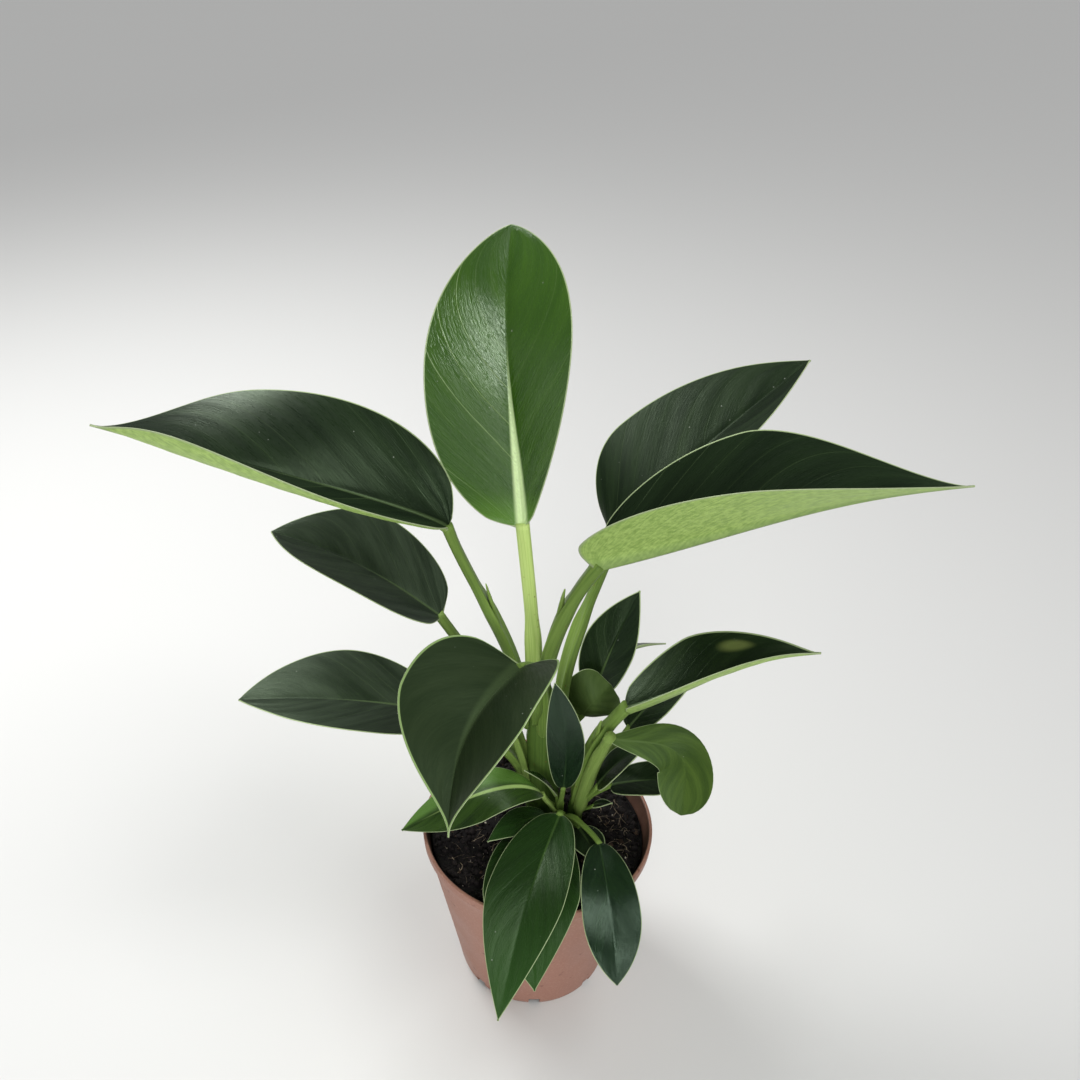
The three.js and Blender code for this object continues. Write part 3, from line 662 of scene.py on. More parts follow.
strew("fibres_on_mix", fibre_skin, thread(6), 170, 21, fibre_placer(2 * MM, 9 * MM, 0.09 * MM, 1.8, 1.8 * MM))
strew("roots_on_mix", fibre_skin, thread(10), 14, 22, fibre_placer(6 * MM, 13 * MM, 0.25 * MM, 2.4, 1.8 * MM))
strew("tangle_by_rim", fibre_skin, thread(8), 60, 23, fibre_placer(
    3 * MM, 9 * MM, 0.17 * MM, 2.6, 2.8 * MM, start=-1.1, end=0.5, inner=0.72))
print("strewn on the mix: fibres, roots and a tangle")

# %% [markdown]
# ## The form of a blade
#
# A philodendron's blade is a thin leathery sheet on a midrib. The midrib runs from base to tip and bows a
# little, and each half rises from it like an open book. A leaf could be cut from a flat picture and bent,
# but here each one has its own fold, bow and outline. So a flat grid is laid along a formula: one function
# gives the width at each place along the blade, another the frame that the midrib carries.

# %% Blade values
BLADE = {
    "arch": 0.004,        # how far the midrib bows towards the upper face
    "skew": 1,            # above 1 moves the bow towards the tip
    "side": 0,            # how far the midrib bows to the right
    "roll": 0,            # turns the upper face to the right, in degrees
    "fold": 10,           # how far each half rises from the midrib, in degrees
    "fold_tip": None,     # the same at the tip, where it differs
    "fold_power": 1,      # above 1 keeps the base's fold further towards the tip
    "cup": 0,             # how far each half is bent between midrib and margin, in degrees
    "widest": 0.44,       # where the blade is widest, as a share of its length
    "base_width": 0.2,    # width at the stalk, as a share of the greatest width
    "base_taper": 0.5,    # above 0.5 makes the base more wedge-shaped
    "tip_power": 1.6,     # a higher power keeps the width further towards the tip
    "tip_sharp": 1.05,    # above 1 draws the tip out, below 1 rounds it
    "at_base": 1,         # factor on the width at the base, which runs to at_tip
    "at_tip": 1,
    "lobe": 0,            # how far the base's outer corners run back past the stalk
    "left": {},           # values that the left half has of its own
    "right": {},
    "up": (0, 0, 1),
}
TIP_WIDTH = 0.9 * MM
BLADE_THICKNESS = 0.8 * MM


def half_width(half, t):
    """The width of one half at the place t along the midrib, which runs from 0 to 1."""
    to_base = min(t / half["widest"], 1)
    to_tip = max((t - half["widest"]) / (1 - half["widest"]), 0)
    if t < half["widest"]:
        share = lerp(half["base_width"], 1, (1 - (1 - to_base) ** 2) ** half["base_taper"])
    else:
        share = (1 - to_tip ** half["tip_power"]) ** half["tip_sharp"]
    factor = lerp(half["at_base"], half["at_tip"], t)
    return max(half["width"] / 2 * share, TIP_WIDTH / 2) * factor


def half_section(half, t, u):
    """How far a point stands beside and above the midrib, as shares of the half's width at t."""
    fold_tip = half["fold"] if half["fold_tip"] is None else half["fold_tip"]
    cup = math.radians(half["cup"])
    turn = math.radians(lerp(half["fold"], fold_tip, t ** half["fold_power"])) + cup * (u - 1) / 2
    arc = cup * u / 2
    chord = u * math.sin(arc) / arc if abs(arc) > 1e-6 else u
    return chord * math.cos(turn), chord * math.sin(turn)


def blade_frame(blade):
    chord = Vector(blade["tip"]) - Vector(blade["base"])
    along = chord.normalized()
    right = along.cross(Vector(blade["up"])).normalized()
    upper = right.cross(along)
    roll = math.radians(blade["roll"])
    face = upper * math.cos(roll) + right * math.sin(roll)
    across = right * math.cos(roll) - upper * math.sin(roll)
    return chord, face, across


def midrib(blade, t):
    chord, face, across = blade_frame(blade)
    bow = math.sin(math.pi * t ** blade["skew"])
    return Vector(blade["base"]) + chord * t + face * bow * blade["arch"] + across * bow * blade["side"]


def midrib_heading(blade, t):
    step = 1e-3
    return (midrib(blade, min(t + step, 1)) - midrib(blade, max(t - step, 0))).normalized()


# %% Laying a grid along the blade
GRID = 1.5 * MM           # size of a quad in the middle of a blade
ROW_CROWDING = 0.4        # how far the rows crowd towards base and tip, from 0 to 1
COLUMN_CROWDING = 1.1     # above 1 crowds the columns towards the midrib
EDGE_BAND = 0.5 * MM      # width of the outermost column, so that only the margin is rounded
CORNER = 0.05             # share of the blade over which the base's corners are rounded
CORNER_START = 0.25       # width and lobe at the very base, as a share of what square corners would give
VEIN_RISE = 0.40          # how far a side vein climbs on its way to the margin, in blade lengths
VEIN_CURVE = 1.1          # above 1 bends the side veins towards the tip
VEINS = 8                 # side veins in each half
RIPPLE = 0.5 * MM         # height of the waves along the margin


def vein_place(t, reach):
    """The place along the midrib from which the vein through this spot starts."""
    return t - VEIN_RISE * reach ** VEIN_CURVE


def corner_share(t):
    """Grows from CORNER_START to 1 in a quarter round, so that a blade's base has no corners."""
    share = min(t / CORNER, 1)
    return lerp(CORNER_START, 1, math.sqrt(share * (2 - share)))


def number_layer(bm, name):
    """The layer of this name that keeps three numbers at each point. It is made where it is missing."""
    layers = bm.verts.layers.float_vector
    return layers.get(name) or layers.new(name)


def laid_grid(blade, seed):
    """The blade's middle surface. Two layers keep each point's place on it, and its distance, in
    millimetres, from midrib and margin."""
    chord, face, _ = blade_frame(blade)
    rows = max(24, round(chord.length / GRID))
    half_columns = max(6, round(blade["width"] / 2 / GRID))
    bm = bmesh.new()
    bmesh.ops.create_grid(bm, x_segments=2 * half_columns, y_segments=rows, size=1)
    place = number_layer(bm, "blade_place")
    distance = number_layer(bm, "blade_distance")
    known = {}
    for vert in bm.verts:
        row = round((vert.co.y + 1) / 2 * rows)
        column = round((vert.co.x + 1) * half_columns) - half_columns
        if row not in known:
            even = row / rows
            t = lerp(even, 0.5 - 0.5 * math.cos(math.pi * even), ROW_CROWDING)
            tangent = midrib_heading(blade, t)
            across = tangent.cross(face).normalized()
            known[row] = t, midrib(blade, t), tangent, across, across.cross(tangent)
        t, centre, tangent, across, upper = known[row]
        side = -1 if column < 0 else 1
        half = {**blade, **(blade["left"] if side < 0 else blade["right"])}
        corner = corner_share(t)
        widest_here = half_width(half, t) * corner
        if abs(column) == half_columns:
            reach = widest_here
        else:
            band = min(EDGE_BAND, 0.2 * widest_here)
            reach = (widest_here - band) * (abs(column) / (half_columns - 1)) ** COLUMN_CROWDING
        u = reach / widest_here
        back = half["lobe"] * corner * u * u * max(1 - t / half["widest"], 0) ** 2
        beside, above = half_section(half, t, u)
        ripple = RIPPLE * u ** 2 * math.sin(9 * t + seed) * min(1, blade["width"] / 0.06)
        vert.co = (centre + across * side * widest_here * beside
                   + upper * (widest_here * above + ripple * min(1, 4 * (1 - t))) - tangent * back)
        vert[place] = (side * u, t, seed)
        vert[distance] = (reach / MM, (widest_here - reach) / MM, 0)
    return bm, place, distance


# %% [markdown]
# ## Giving a blade its two faces
#
# The middle surface is copied once for the upper face and once for the underside. Each copy moves along the
# surface's own direction, by half the thickness and by the relief of its veins: sunk above, raised below.
# The midrib is a shallow channel above and a strong ridge below, where it carries on from the stalk. The
# two copies are bridged at the margin, and the bridge is rounded.

# %% Two faces and a margin
UPPER, UNDER, MARGIN = 0, 1, 2    # a blade's material slots
VEIN_SUNK = 0.10 * MM
MARGIN_BULGE = 0.12 * MM
SWELL = 0.07 * MM         # how far the blade swells and sinks between its side veins
CHANNEL = 0.35 * MM
FLAT_CHANNEL = 0.12 * MM
CHANNEL_WIDTH = 0.55      # in stalk radii, as the ridge's height is
RIDGE_HEIGHT = 0.8


def vein_wave(t, u, seed):
    """1 on a side vein and 0 between two, fading at the midrib, the margin and the tip."""
    phase = vein_place(t, abs(u)) * VEINS + 0.3 * noise.noise(Vector((t * 3, abs(u) * 2, seed * 5.3)))
    strength = min(1, 5 * abs(u)) * min(1, 6 * (1 - abs(u))) * min(1, 5 * (1 - t))
    return strength * (0.5 + 0.5 * math.cos(2 * math.pi * phase)) ** 3


def paint(faces, skin_number):
    for bm_face in faces:
        bm_face.material_index = skin_number


def two_faced(blade, seed, rib, channel_depth):
    """A closed blade with its relief: rib is the radius of the stalk that the midrib carries on."""
    bm, place, distance = laid_grid(blade, seed)
    _, face, _ = blade_frame(blade)
    bm.normal_update()
    upward = {vert: vert.normal.copy() for vert in bm.verts}
    if sum(normal.dot(face) for normal in upward.values()) < 0:
        bmesh.ops.reverse_faces(bm, faces=bm.faces[:])
        upward = {vert: -normal for vert, normal in upward.items()}
    copy = bmesh.ops.duplicate(bm, geom=bm.verts[:] + bm.edges[:] + bm.faces[:])
    twin = copy["vert_map"]
    lower_faces = [f for f in copy["geom"] if isinstance(f, bmesh.types.BMFace)]
    bmesh.ops.reverse_faces(bm, faces=lower_faces)
    small = min(1, blade["width"] / 0.05)
    for vert, normal in upward.items():
        u, t, _ = vert[place]
        from_rib = vert[distance].x * MM
        fade_out = (1 - t) ** 1.2
        wave = vein_wave(t, u, seed) * small
        wander = 2 * math.pi * (3.1 * vein_place(t, abs(u)) + seed * 0.37)
        swell = math.sin(wander) * 4 * abs(u) * (1 - abs(u))
        sunk = math.exp(-((from_rib / (rib * CHANNEL_WIDTH)) ** 2))
        channel = sunk * channel_depth * small * min(1, 3 * (1 - t))
        raised = math.exp(-((from_rib / (rib * (0.35 + 0.5 * fade_out))) ** 2))
        ridge = raised * rib * RIDGE_HEIGHT * fade_out
        thin = BLADE_THICKNESS / 2 * lerp(1, 0.4, u ** 4)
        bend = swell * SWELL * small
        centre = vert.co.copy()
        vert.co = centre + normal * (thin + bend - VEIN_SUNK * wave - channel)
        twin[vert].co = centre - normal * (thin - bend + VEIN_SUNK * wave + ridge)
    paint(bm.faces, UPPER)
    paint(lower_faces, UNDER)
    rim = [edge for edge in bm.edges if edge.is_boundary]
    bridge = bmesh.ops.bridge_loops(bm, edges=rim)
    paint(bridge["faces"], MARGIN)
    rungs = {edge for bm_face in bridge["faces"] for edge in bm_face.edges} - set(rim)
    halved = bmesh.ops.subdivide_edges(bm, edges=list(rungs), cuts=1)
    middle = [v for v in halved["geom_inner"] if isinstance(v, bmesh.types.BMVert)]
    bm.normal_update()
    for vert in middle:
        vert.co += vert.normal * MARGIN_BULGE
    return bm


# %% [markdown]
# ## Leaf skins
#
# A mature blade is satin and very dark above, with fine streaks that follow the side veins, a thin pale
# margin and a faint midrib. Its underside is light green. Young blades are brighter, and the tallest has a
# broad pale midrib. The streaks could be painted, but then they would not stretch with each blade. Each point
# keeps its place on its blade, so noise is read along the veins instead: fine across them, long along them.

# %% Veins, midrib, spot and dust
MARGIN_COLOUR = (0.30, 0.38, 0.19)
DUST_ON_LEAF = (0.45, 0.48, 0.42)
GREEN_SHEEN = (0.72, 1.0, 0.62)


def along_veins(skin, u, t):
    """How far out a point lies, and the place from which its vein starts, as vein_place() gives it."""
    reach = calculate(skin, "ABSOLUTE", u)
    climb = times(skin, calculate(skin, "POWER", reach, VEIN_CURVE), VEIN_RISE)
    return reach, calculate(skin, "SUBTRACT", t, climb)


def vein_lines(skin, start, bands, key):
    """A thin line at each side vein. Each has a strength of its own, and they fade towards the tip."""
    number = calculate(skin, "MULTIPLY_ADD", bands, 0.25, times(skin, start, VEINS))
    to_vein = calculate(skin, "PINGPONG", number, 0.5)
    own_number = calculate(skin, "MULTIPLY_ADD", key, 7.3, calculate(skin, "ROUND", number))
    own = add(skin, "ShaderNodeTexWhiteNoise", {"W": own_number}, noise_dimensions="1D").outputs["Value"]
    vein = times(skin, fade(skin, to_vein, 0.035, 0.0), fade(skin, own, 0.1, 0.9, 0.15, 1.0))
    return times(skin, vein, fade(skin, start, 0.70, 0.35, 0.1, 1.0))


def midrib_line(skin, t, from_rib, width, end, hair):
    """The midrib's colour, which grows narrower and fainter on its way to its end."""
    narrow = fade(skin, t, 0.0, end, width, 0.15)
    rib = fade(skin, calculate(skin, "DIVIDE", from_rib, narrow), 1.3, 0.5)
    rib = times(skin, rib, fade(skin, t, end, end * 0.35, 0.0, 1.0))
    return times(skin, rib, fade(skin, hair, 0.2, 0.6, 0.75, 1.0))


def near_spot(skin, u, t, spot):
    """1 at a spot of the blade, and 0 well away from it. The spot has a place and a reach each way."""
    aside = calculate(skin, "DIVIDE", calculate(skin, "SUBTRACT", u, spot["u"]), spot["reach_u"])
    along = calculate(skin, "DIVIDE", calculate(skin, "SUBTRACT", t, spot["t"]), spot["reach_t"])
    away = add(skin, "ShaderNodeVectorMath", {0: joined(skin, aside, along, 0.0)}, operation="LENGTH")
    return fade(skin, away.outputs["Value"], 1.3, 0.4)


def dust_specks(skin):
    """A few small specks, the same size on every leaf."""
    point = on_object(skin)
    spots = add(skin, "ShaderNodeTexVoronoi", {"Vector": point, "Scale": 240.0}).outputs["Distance"]
    chosen = fade(skin, mottle(skin, point, 150, detail=0), 0.64, 0.68)
    return times(skin, fade(skin, spots, 0.085, 0.05, 0.0, 0.55), chosen)


# %% The upper skin


def upper_skin(name, deep, fresh, rib_colour, rib_width, rib_end, vein_share, gloss, specular=0.25,
               edge=(0.55, 0.30), edge_colour=MARGIN_COLOUR, greener=0.0, base_glow=None,
               calm_side=0, bright_side=0, patch=None, wrinkles=0.09, sheen=GREEN_SHEEN):
    """deep and fresh are mixed along the veins. rib_width is in millimetres, and rib_end is where the
    midrib's colour has faded, as a share of the blade. gloss is the roughness, which the streaks vary a
    little. edge_colour fades in between the two distances of edge, in millimetres from the margin. greener
    is the share of the blade, from its tip, that turns brighter, and base_glow the colour at its base.
    calm_side is the half with faint veins and bright_side the lighter half: -1 is left and 1 is right.
    wrinkles is the height of the finest relief, in millimetres, and sheen tints what the leaf reflects."""
    skin, shader = new_skin(name, gloss, specular)
    shader.inputs["Specular Tint"].default_value = (*sheen, 1)
    u, t, seed = attribute(skin, "blade_place")
    from_rib, from_margin, _ = attribute(skin, "blade_distance")
    reach, start = along_veins(skin, u, t)
    key = calculate(skin, "MULTIPLY_ADD", calculate(skin, "SIGN", u), 3.7, seed)
    bands = streaked(skin, start, reach, key, (9, 1))
    streaks = streaked(skin, start, reach, key, (95, 7), detail=3)
    hair = streaked(skin, start, reach, key, (260, 26), detail=1)
    vein = vein_lines(skin, start, bands, key)
    if calm_side:
        vein = times(skin, vein, fade(skin, u, -0.05 * calm_side, 0.05 * calm_side, 1.0, 0.2))
    tone = fade(skin, calculate(skin, "MULTIPLY_ADD", streaks, 0.35, bands), 0.4, 0.95)
    colour = blend(skin, tone, deep, fresh)
    if greener:
        far_end = times(skin, fade(skin, t, 1 - greener, 1.0), 0.6)
        colour = blend(skin, far_end, colour, tuple(2.2 * c for c in fresh))
    if bright_side:
        half = fade(skin, u, 0.0, 0.4 * bright_side)
        colour = blend(skin, half, colour, tuple(2.6 * c for c in fresh))
    if base_glow:
        colour = blend(skin, fade(skin, t, 0.16, 0.0), colour, base_glow)
    if patch:
        colour = blend(skin, near_spot(skin, u, t, patch), colour, patch["colour"])
    colour = blend(skin, times(skin, vein, vein_share), colour, rib_colour)
    colour = blend(skin, midrib_line(skin, t, from_rib, rib_width, rib_end, hair), colour, rib_colour)
    colour = blend(skin, dust_specks(skin), colour, DUST_ON_LEAF)
    colour = blend(skin, fade(skin, from_margin, *edge), colour, edge_colour)
    sheen_streaks = calculate(skin, "MULTIPLY_ADD", hair, 0.6, streaks)
    rough = fade(skin, sheen_streaks, 0.5, 1.1, gloss + 0.08, gloss - 0.05)
    wire(skin, shader, Base_Color=colour, Roughness=rough)
    height = calculate(skin, "MULTIPLY_ADD", hair, 0.5, streaks)
    height = calculate(skin, "SUBTRACT", height, times(skin, vein, 0.6))
    relief(skin, shader, height, wrinkles * MM, 0.8)
    return skin


# %% The upper skins of this plant
YELLOW_PATCH = {"u": -0.57, "t": 0.62, "reach_u": 0.17, "reach_t": 0.08, "colour": (0.125, 0.155, 0.045)}
SMALL_EDGE = (0.26, 0.08)
SKINS = {
    "dark": upper_skin(
        "dark_leaf", (0.0035, 0.0085, 0.0032), (0.011, 0.022, 0.008), (0.060, 0.095, 0.035),
        rib_width=1.0, rib_end=0.7, vein_share=0.38, gloss=0.30),
    "shaded": upper_skin(
        "shaded_leaf", (0.0035, 0.0085, 0.0032), (0.014, 0.026, 0.010), (0.060, 0.095, 0.035),
        rib_width=0.8, rib_end=0.7, vein_share=0.25, gloss=0.36, specular=0.11),
    "satin": upper_skin(
        "satin_leaf", (0.011, 0.018, 0.010), (0.034, 0.048, 0.030), (0.070, 0.105, 0.045),
        rib_width=1.0, rib_end=0.7, vein_share=0.3, gloss=0.34),
    "heart": upper_skin(
        "heart_leaf", (0.012, 0.022, 0.008), (0.019, 0.031, 0.012), (0.036, 0.057, 0.022),
        rib_width=4.6, rib_end=0.95, vein_share=0.16, gloss=0.46, specular=0.12, wrinkles=0.03,
        edge=(1.2, 0.7), edge_colour=(0.22, 0.32, 0.12)),
    "spotted": upper_skin(
        "spotted_leaf", (0.004, 0.010, 0.0035), (0.012, 0.023, 0.008), (0.060, 0.095, 0.035),
        rib_width=0.8, rib_end=0.7, vein_share=0.15, gloss=0.32, edge=(0.9, 0.5), patch=YELLOW_PATCH),
    "fresh": upper_skin(
        "fresh_leaf", (0.008, 0.022, 0.005), (0.014, 0.038, 0.008), (0.040, 0.080, 0.020),
        rib_width=0.7, rib_end=0.6, vein_share=0.10, gloss=0.24, specular=0.22, edge=SMALL_EDGE,
        greener=0.6),
    "arched": upper_skin(
        "arched_leaf", (0.010, 0.024, 0.005), (0.030, 0.064, 0.011), (0.34, 0.48, 0.16),
        rib_width=1.5, rib_end=0.95, vein_share=0.05, gloss=0.30, edge=SMALL_EDGE, bright_side=1),
    "crown": upper_skin(
        "crown_leaf", (0.022, 0.068, 0.003), (0.037, 0.097, 0.006), (0.66, 0.84, 0.42),
        rib_width=3.1, rib_end=0.72, vein_share=0.32, gloss=0.22, specular=0.7, calm_side=1,
        base_glow=(0.080, 0.19, 0.015), wrinkles=0.22, sheen=(0.85, 1.0, 0.80)),
    "glossy": upper_skin(
        "glossy_leaf", (0.003, 0.010, 0.004), (0.008, 0.021, 0.008), (0.017, 0.036, 0.013),
        rib_width=0.6, rib_end=0.5, vein_share=0.12, gloss=0.13, specular=0.5, edge=SMALL_EDGE,
        wrinkles=0.15, sheen=(0.72, 1.0, 0.76)),
    "olive": upper_skin(
        "olive_leaf", (0.030, 0.058, 0.010), (0.060, 0.104, 0.018), (0.070, 0.115, 0.028),
        rib_width=0.6, rib_end=0.7, vein_share=0.08, gloss=0.34, specular=0.2,
        edge=SMALL_EDGE, edge_colour=(0.16, 0.23, 0.09)),
    "pale": upper_skin(
        "pale_leaf", (0.050, 0.084, 0.022), (0.078, 0.122, 0.034), (0.095, 0.145, 0.045),
        rib_width=0.6, rib_end=0.7, vein_share=0.08, gloss=0.36, specular=0.15,
        edge=SMALL_EDGE, edge_colour=(0.20, 0.28, 0.11)),
}


# %% The underside and the margin
UNDER_DEEP = (0.22, 0.34, 0.080)
UNDER_LIGHT = (0.37, 0.52, 0.145)
UNDER_BY_RIB = (0.16, 0.24, 0.08)
MARGIN_LIGHT = (0.42, 0.48, 0.28)


def under_skin():
    """Light green and matt, cloudy and streaked along the veins, and deeper near the midrib."""
    skin, shader = new_skin("leaf_underside", 0.55, specular=0.25)
    u, t, seed = attribute(skin, "blade_place")
    from_rib, from_margin, _ = attribute(skin, "blade_distance")
    reach, start = along_veins(skin, u, t)
    streaks = streaked(skin, start, reach, seed, (90, 14), detail=4)
    cloud = mottle(skin, on_object(skin), 420, detail=4)
    tone = fade(skin, calculate(skin, "MULTIPLY_ADD", cloud, 0.7, streaks), 0.6, 1.1)
    colour = blend(skin, tone, UNDER_DEEP, UNDER_LIGHT)
    colour = blend(skin, fade(skin, from_rib, 6.0, 1.0, 0.0, 0.6), colour, UNDER_BY_RIB)
    colour = blend(skin, fade(skin, from_margin, 1.2, 0.2), colour, MARGIN_COLOUR)
    wire(skin, shader, Base_Color=colour, Roughness=fade(skin, streaks, 0.3, 0.7, 0.48, 0.62))
    relief(skin, shader, calculate(skin, "ADD", streaks, cloud), 0.08 * MM, 0.7)
    return skin


def margin_skin():
    skin, shader = new_skin("leaf_margin", 0.42, specular=0.4)
    tone = mottle(skin, on_object(skin), 300)
    wire(skin, shader, Base_Color=blend(skin, tone, MARGIN_COLOUR, MARGIN_LIGHT))
    relief(skin, shader, tone, 0.05 * MM, 0.5)
    return skin


underside = under_skin()
margin = margin_skin()
print("leaf skins:", sorted(SKINS))

# %% [markdown]
# ## The leaves
#
# Each leaf has a blade and a stalk. Their values are real sizes and places, the same as in the solids, and
# each solid blade is replaced by the finer one that is laid from them.

# %% Leaf values
STALK = {
    "radius": 0.0015,
    "sheath": 0.5,        # share of the stalk that is winged
    "flare": 1.5,         # width of the winged part, as a multiple of the stalk's
    "bend": 0.5,          # how much the stalk's end leans along the blade
    "seat": 0.0007,       # distance from the solid stalk's end to the blade's base
    "auricle": 0,         # length of the free end of the sheath
    "bow": (0, 0, 0),     # how far the stalk's middle is drawn aside
    "pale": 0.07,         # 0 is mid green, 1 is the pale yellow-green of a young stalk
}
LEAVES = {}


def leaf(name, skin, base, tip, width, root, stalk=None, **blade):
    """Keeps one leaf's values. Its blade is the solid leaf_NAME, and NAME starts with its stem's name."""
    LEAVES[name] = {
        "stem": name.split("_")[0],
        "skin": skin,
        "blade": {**BLADE, "base": base, "tip": tip, "width": width, **blade},
        "stalk": {**STALK, "root": root, **(stalk or {})},
    }


leaf("main_crown", "crown", (-0.013, 0.024, 0.268), (-0.022, 0.060, 0.394), 0.072,
     root=(-0.005, 0.022, 0.160),
     stalk={"radius": 0.0033, "sheath": 0.45, "flare": 1.3, "bow": (0.0015, 0, 0), "pale": 1},
     arch=0.0126, side=-0.0005, skew=1.44, roll=-26, fold=20, widest=0.576, tip_power=2.2,
     tip_sharp=0.76, base_width=0.174, base_taper=0.76, left={"cup": 24, "at_base": 1.26, "at_tip": 0.8},
     right={"at_base": 0.44, "at_tip": 1.16})
leaf("main_left", "dark", (-0.0459, 0.012, 0.2731), (-0.192, 0.005, 0.3212), 0.097,
     root=(-0.008, 0.018, 0.150),
     stalk={"radius": 0.0032, "sheath": 0.66, "flare": 1.9, "bend": 0.9, "auricle": 0.012,
            "bow": (0.0025, 0, 0)},
     arch=0.0036, skew=0.55, roll=2, widest=0.58, tip_power=2.87, tip_sharp=1.74, base_width=0,
     left={"fold": 16, "fold_tip": 48, "fold_power": 1.6, "cup": 60, "at_base": 0.74, "at_tip": 0.74},
     right={"fold": 65, "fold_tip": -8, "at_base": 0.98, "at_tip": 0.85})
leaf("main_right", "dark", (0.022, 0.002, 0.264), (0.1619, -0.025, 0.3264), 0.085,
     root=(-0.003, 0.015, 0.156),
     stalk={"radius": 0.0042, "sheath": 0.72, "flare": 1.85, "seat": 0.0009, "auricle": 0.012},
     arch=0.0063, side=0.0034, skew=1.66, widest=0.522, tip_power=1.69, tip_sharp=1.16,
     base_width=0.12, base_taper=0.6,
     left={"fold": 58.7, "fold_tip": 29.2, "widest": 0.472, "tip_sharp": 1.59, "at_base": 0.91,
           "at_tip": 0.974},
     right={"fold": 60.3, "fold_tip": 32.3, "at_base": 1.158, "at_tip": 0.934, "lobe": 0.0094})
leaf("main_back_right", "shaded", (0.0302, 0.0444, 0.2453), (0.1199, 0.0878, 0.3264), 0.0787,
     root=(0.010, 0.019, 0.150),
     stalk={"radius": 0.0032, "sheath": 0.6, "flare": 1.6, "bend": 1, "seat": 0.0024,
            "bow": (-0.007, 0, 0)},
     arch=0.0106, side=0.0065, skew=0.55, roll=-8, fold=20.7, widest=0.344, tip_power=1.93,
     base_width=0.084, base_taper=0.68,
     left={"tip_power": 2.58, "tip_sharp": 1.01, "at_base": 1.117, "at_tip": 1.023}, right={"at_tip": 1.165})
leaf("main_heart", "heart", (-0.011, -0.016, 0.218), (-0.0388, -0.076, 0.1734), 0.072,
     root=(0.0, 0.016, 0.140),
     stalk={"radius": 0.0026, "sheath": 0.4, "flare": 1.4, "bend": 1.6, "seat": 0.001},
     arch=0.0146, side=0.0024, roll=12.6, fold=31.5, widest=0.414, tip_power=1.62, tip_sharp=1.66,
     left={"base_width": 0.28, "base_taper": 0.42, "at_base": 1.21, "at_tip": 1.26, "lobe": 0.004},
     right={"base_width": 0.12, "at_base": 1.24, "at_tip": 0.685})
leaf("main_mid_left", "satin", (-0.051, 0.020, 0.217), (-0.132, 0.036, 0.251), 0.062,
     root=(-0.005, 0.017, 0.106), stalk={"radius": 0.0028, "sheath": 0.6, "flare": 1.7, "pale": 0.18},
     arch=0.006, fold=19, widest=0.5, tip_power=2, tip_sharp=0.9, base_width=0.15)
leaf("main_low_left", "satin", (-0.053, 0.005, 0.170), (-0.146, -0.004, 0.180), 0.060,
     root=(-0.005, 0.017, 0.101),
     stalk={"radius": 0.003, "sheath": 0.5, "flare": 1.7, "seat": 0.0016, "bow": (0, 0.006, 0)},
     arch=0.004, fold=10, widest=0.42, tip_power=1.9, tip_sharp=0.9,
     left={"at_tip": 0.7, "lobe": 0.002}, right={"at_base": 0.9, "at_tip": 1.2, "lobe": 0.002})
leaf("main_upright", "dark", (0.027, 0.038, 0.157), (0.048, 0.062, 0.206), 0.032,
     root=(0.006, 0.025, 0.122), stalk={"radius": 0.002},
     arch=0.002, fold=16, tip_power=1.7, tip_sharp=1)
leaf("main_pale", "pale", (0.0208, 0.030, 0.1472), (0.0345, 0.030, 0.1691), 0.0322,
     root=(0.005, 0.023, 0.128), stalk={"radius": 0.0017, "seat": 0.0011},
     up=(0, -0.8, 0.6), arch=0.0059, side=-0.0028, roll=13.5, fold=-10, widest=0.55, tip_power=3.2,
     tip_sharp=0.31, base_width=0.18, left={"at_base": 1.07, "at_tip": 1.07},
     right={"at_base": 0.755, "at_tip": 1.05})
leaf("main_far", "dark", (0.036, 0.056, 0.166), (0.065, 0.064, 0.170), 0.020,
     root=(0.005, 0.027, 0.118), stalk={"radius": 0.0017}, arch=0.002, roll=-38, fold=6)
leaf("right_long", "spotted", (0.039, -0.004, 0.185), (0.1268, 0.0, 0.220), 0.045,
     root=(0.019, 0.011, 0.098), stalk={"radius": 0.0038, "sheath": 0.78, "flare": 1.3, "auricle": 0.007},
     arch=0.0042, side=-0.0023, skew=1.7, roll=-3.6, widest=0.588, tip_power=1.53, tip_sharp=1.09,
     left={"fold": 22, "fold_tip": 45, "widest": 0.4, "tip_sharp": 1.43, "at_base": 0.828, "at_tip": 1.264},
     right={"fold": 38.5, "fold_tip": 41, "fold_power": 1.5, "cup": 35, "at_base": 0.812, "at_tip": 1.109})
leaf("right_curled", "olive", (0.032, -0.012, 0.173), (0.067, -0.034, 0.146), 0.027,
     root=(0.021, 0.006, 0.098),
     stalk={"radius": 0.0032, "sheath": 0.85, "flare": 1.2, "bend": 0.2, "seat": 0.0015,
            "bow": (0.0025, 0, 0), "pale": 0.2},
     up=(0.3, -0.7, 0.6), arch=0.005, skew=1.2, side=-0.018, fold=-8, widest=0.74, tip_power=2.8,
     tip_sharp=0.55, base_width=0.12, base_taper=1.2, left={"at_tip": 1.1})
leaf("right_behind", "dark", (0.044, 0.015, 0.154), (0.082, 0.025, 0.192), 0.030,
     root=(0.021, 0.013, 0.098), stalk={"radius": 0.0018, "seat": 0.0013},
     arch=0.004, fold=8, left={"lobe": 0.002}, right={"lobe": 0.002})
leaf("right_inner", "dark", (0.029, -0.003, 0.130), (0.054, 0.0, 0.160), 0.018,
     root=(0.021, 0.008, 0.098), stalk={"radius": 0.0014, "seat": 0.0009},
     arch=0.003, fold=8, base_width=0.12)
leaf("right_low", "dark", (0.036, 0.002, 0.126), (0.080, 0.0, 0.132), 0.024,
     root=(0.022, 0.010, 0.097), stalk={"radius": 0.0016}, arch=0.003, fold=8, widest=0.5)
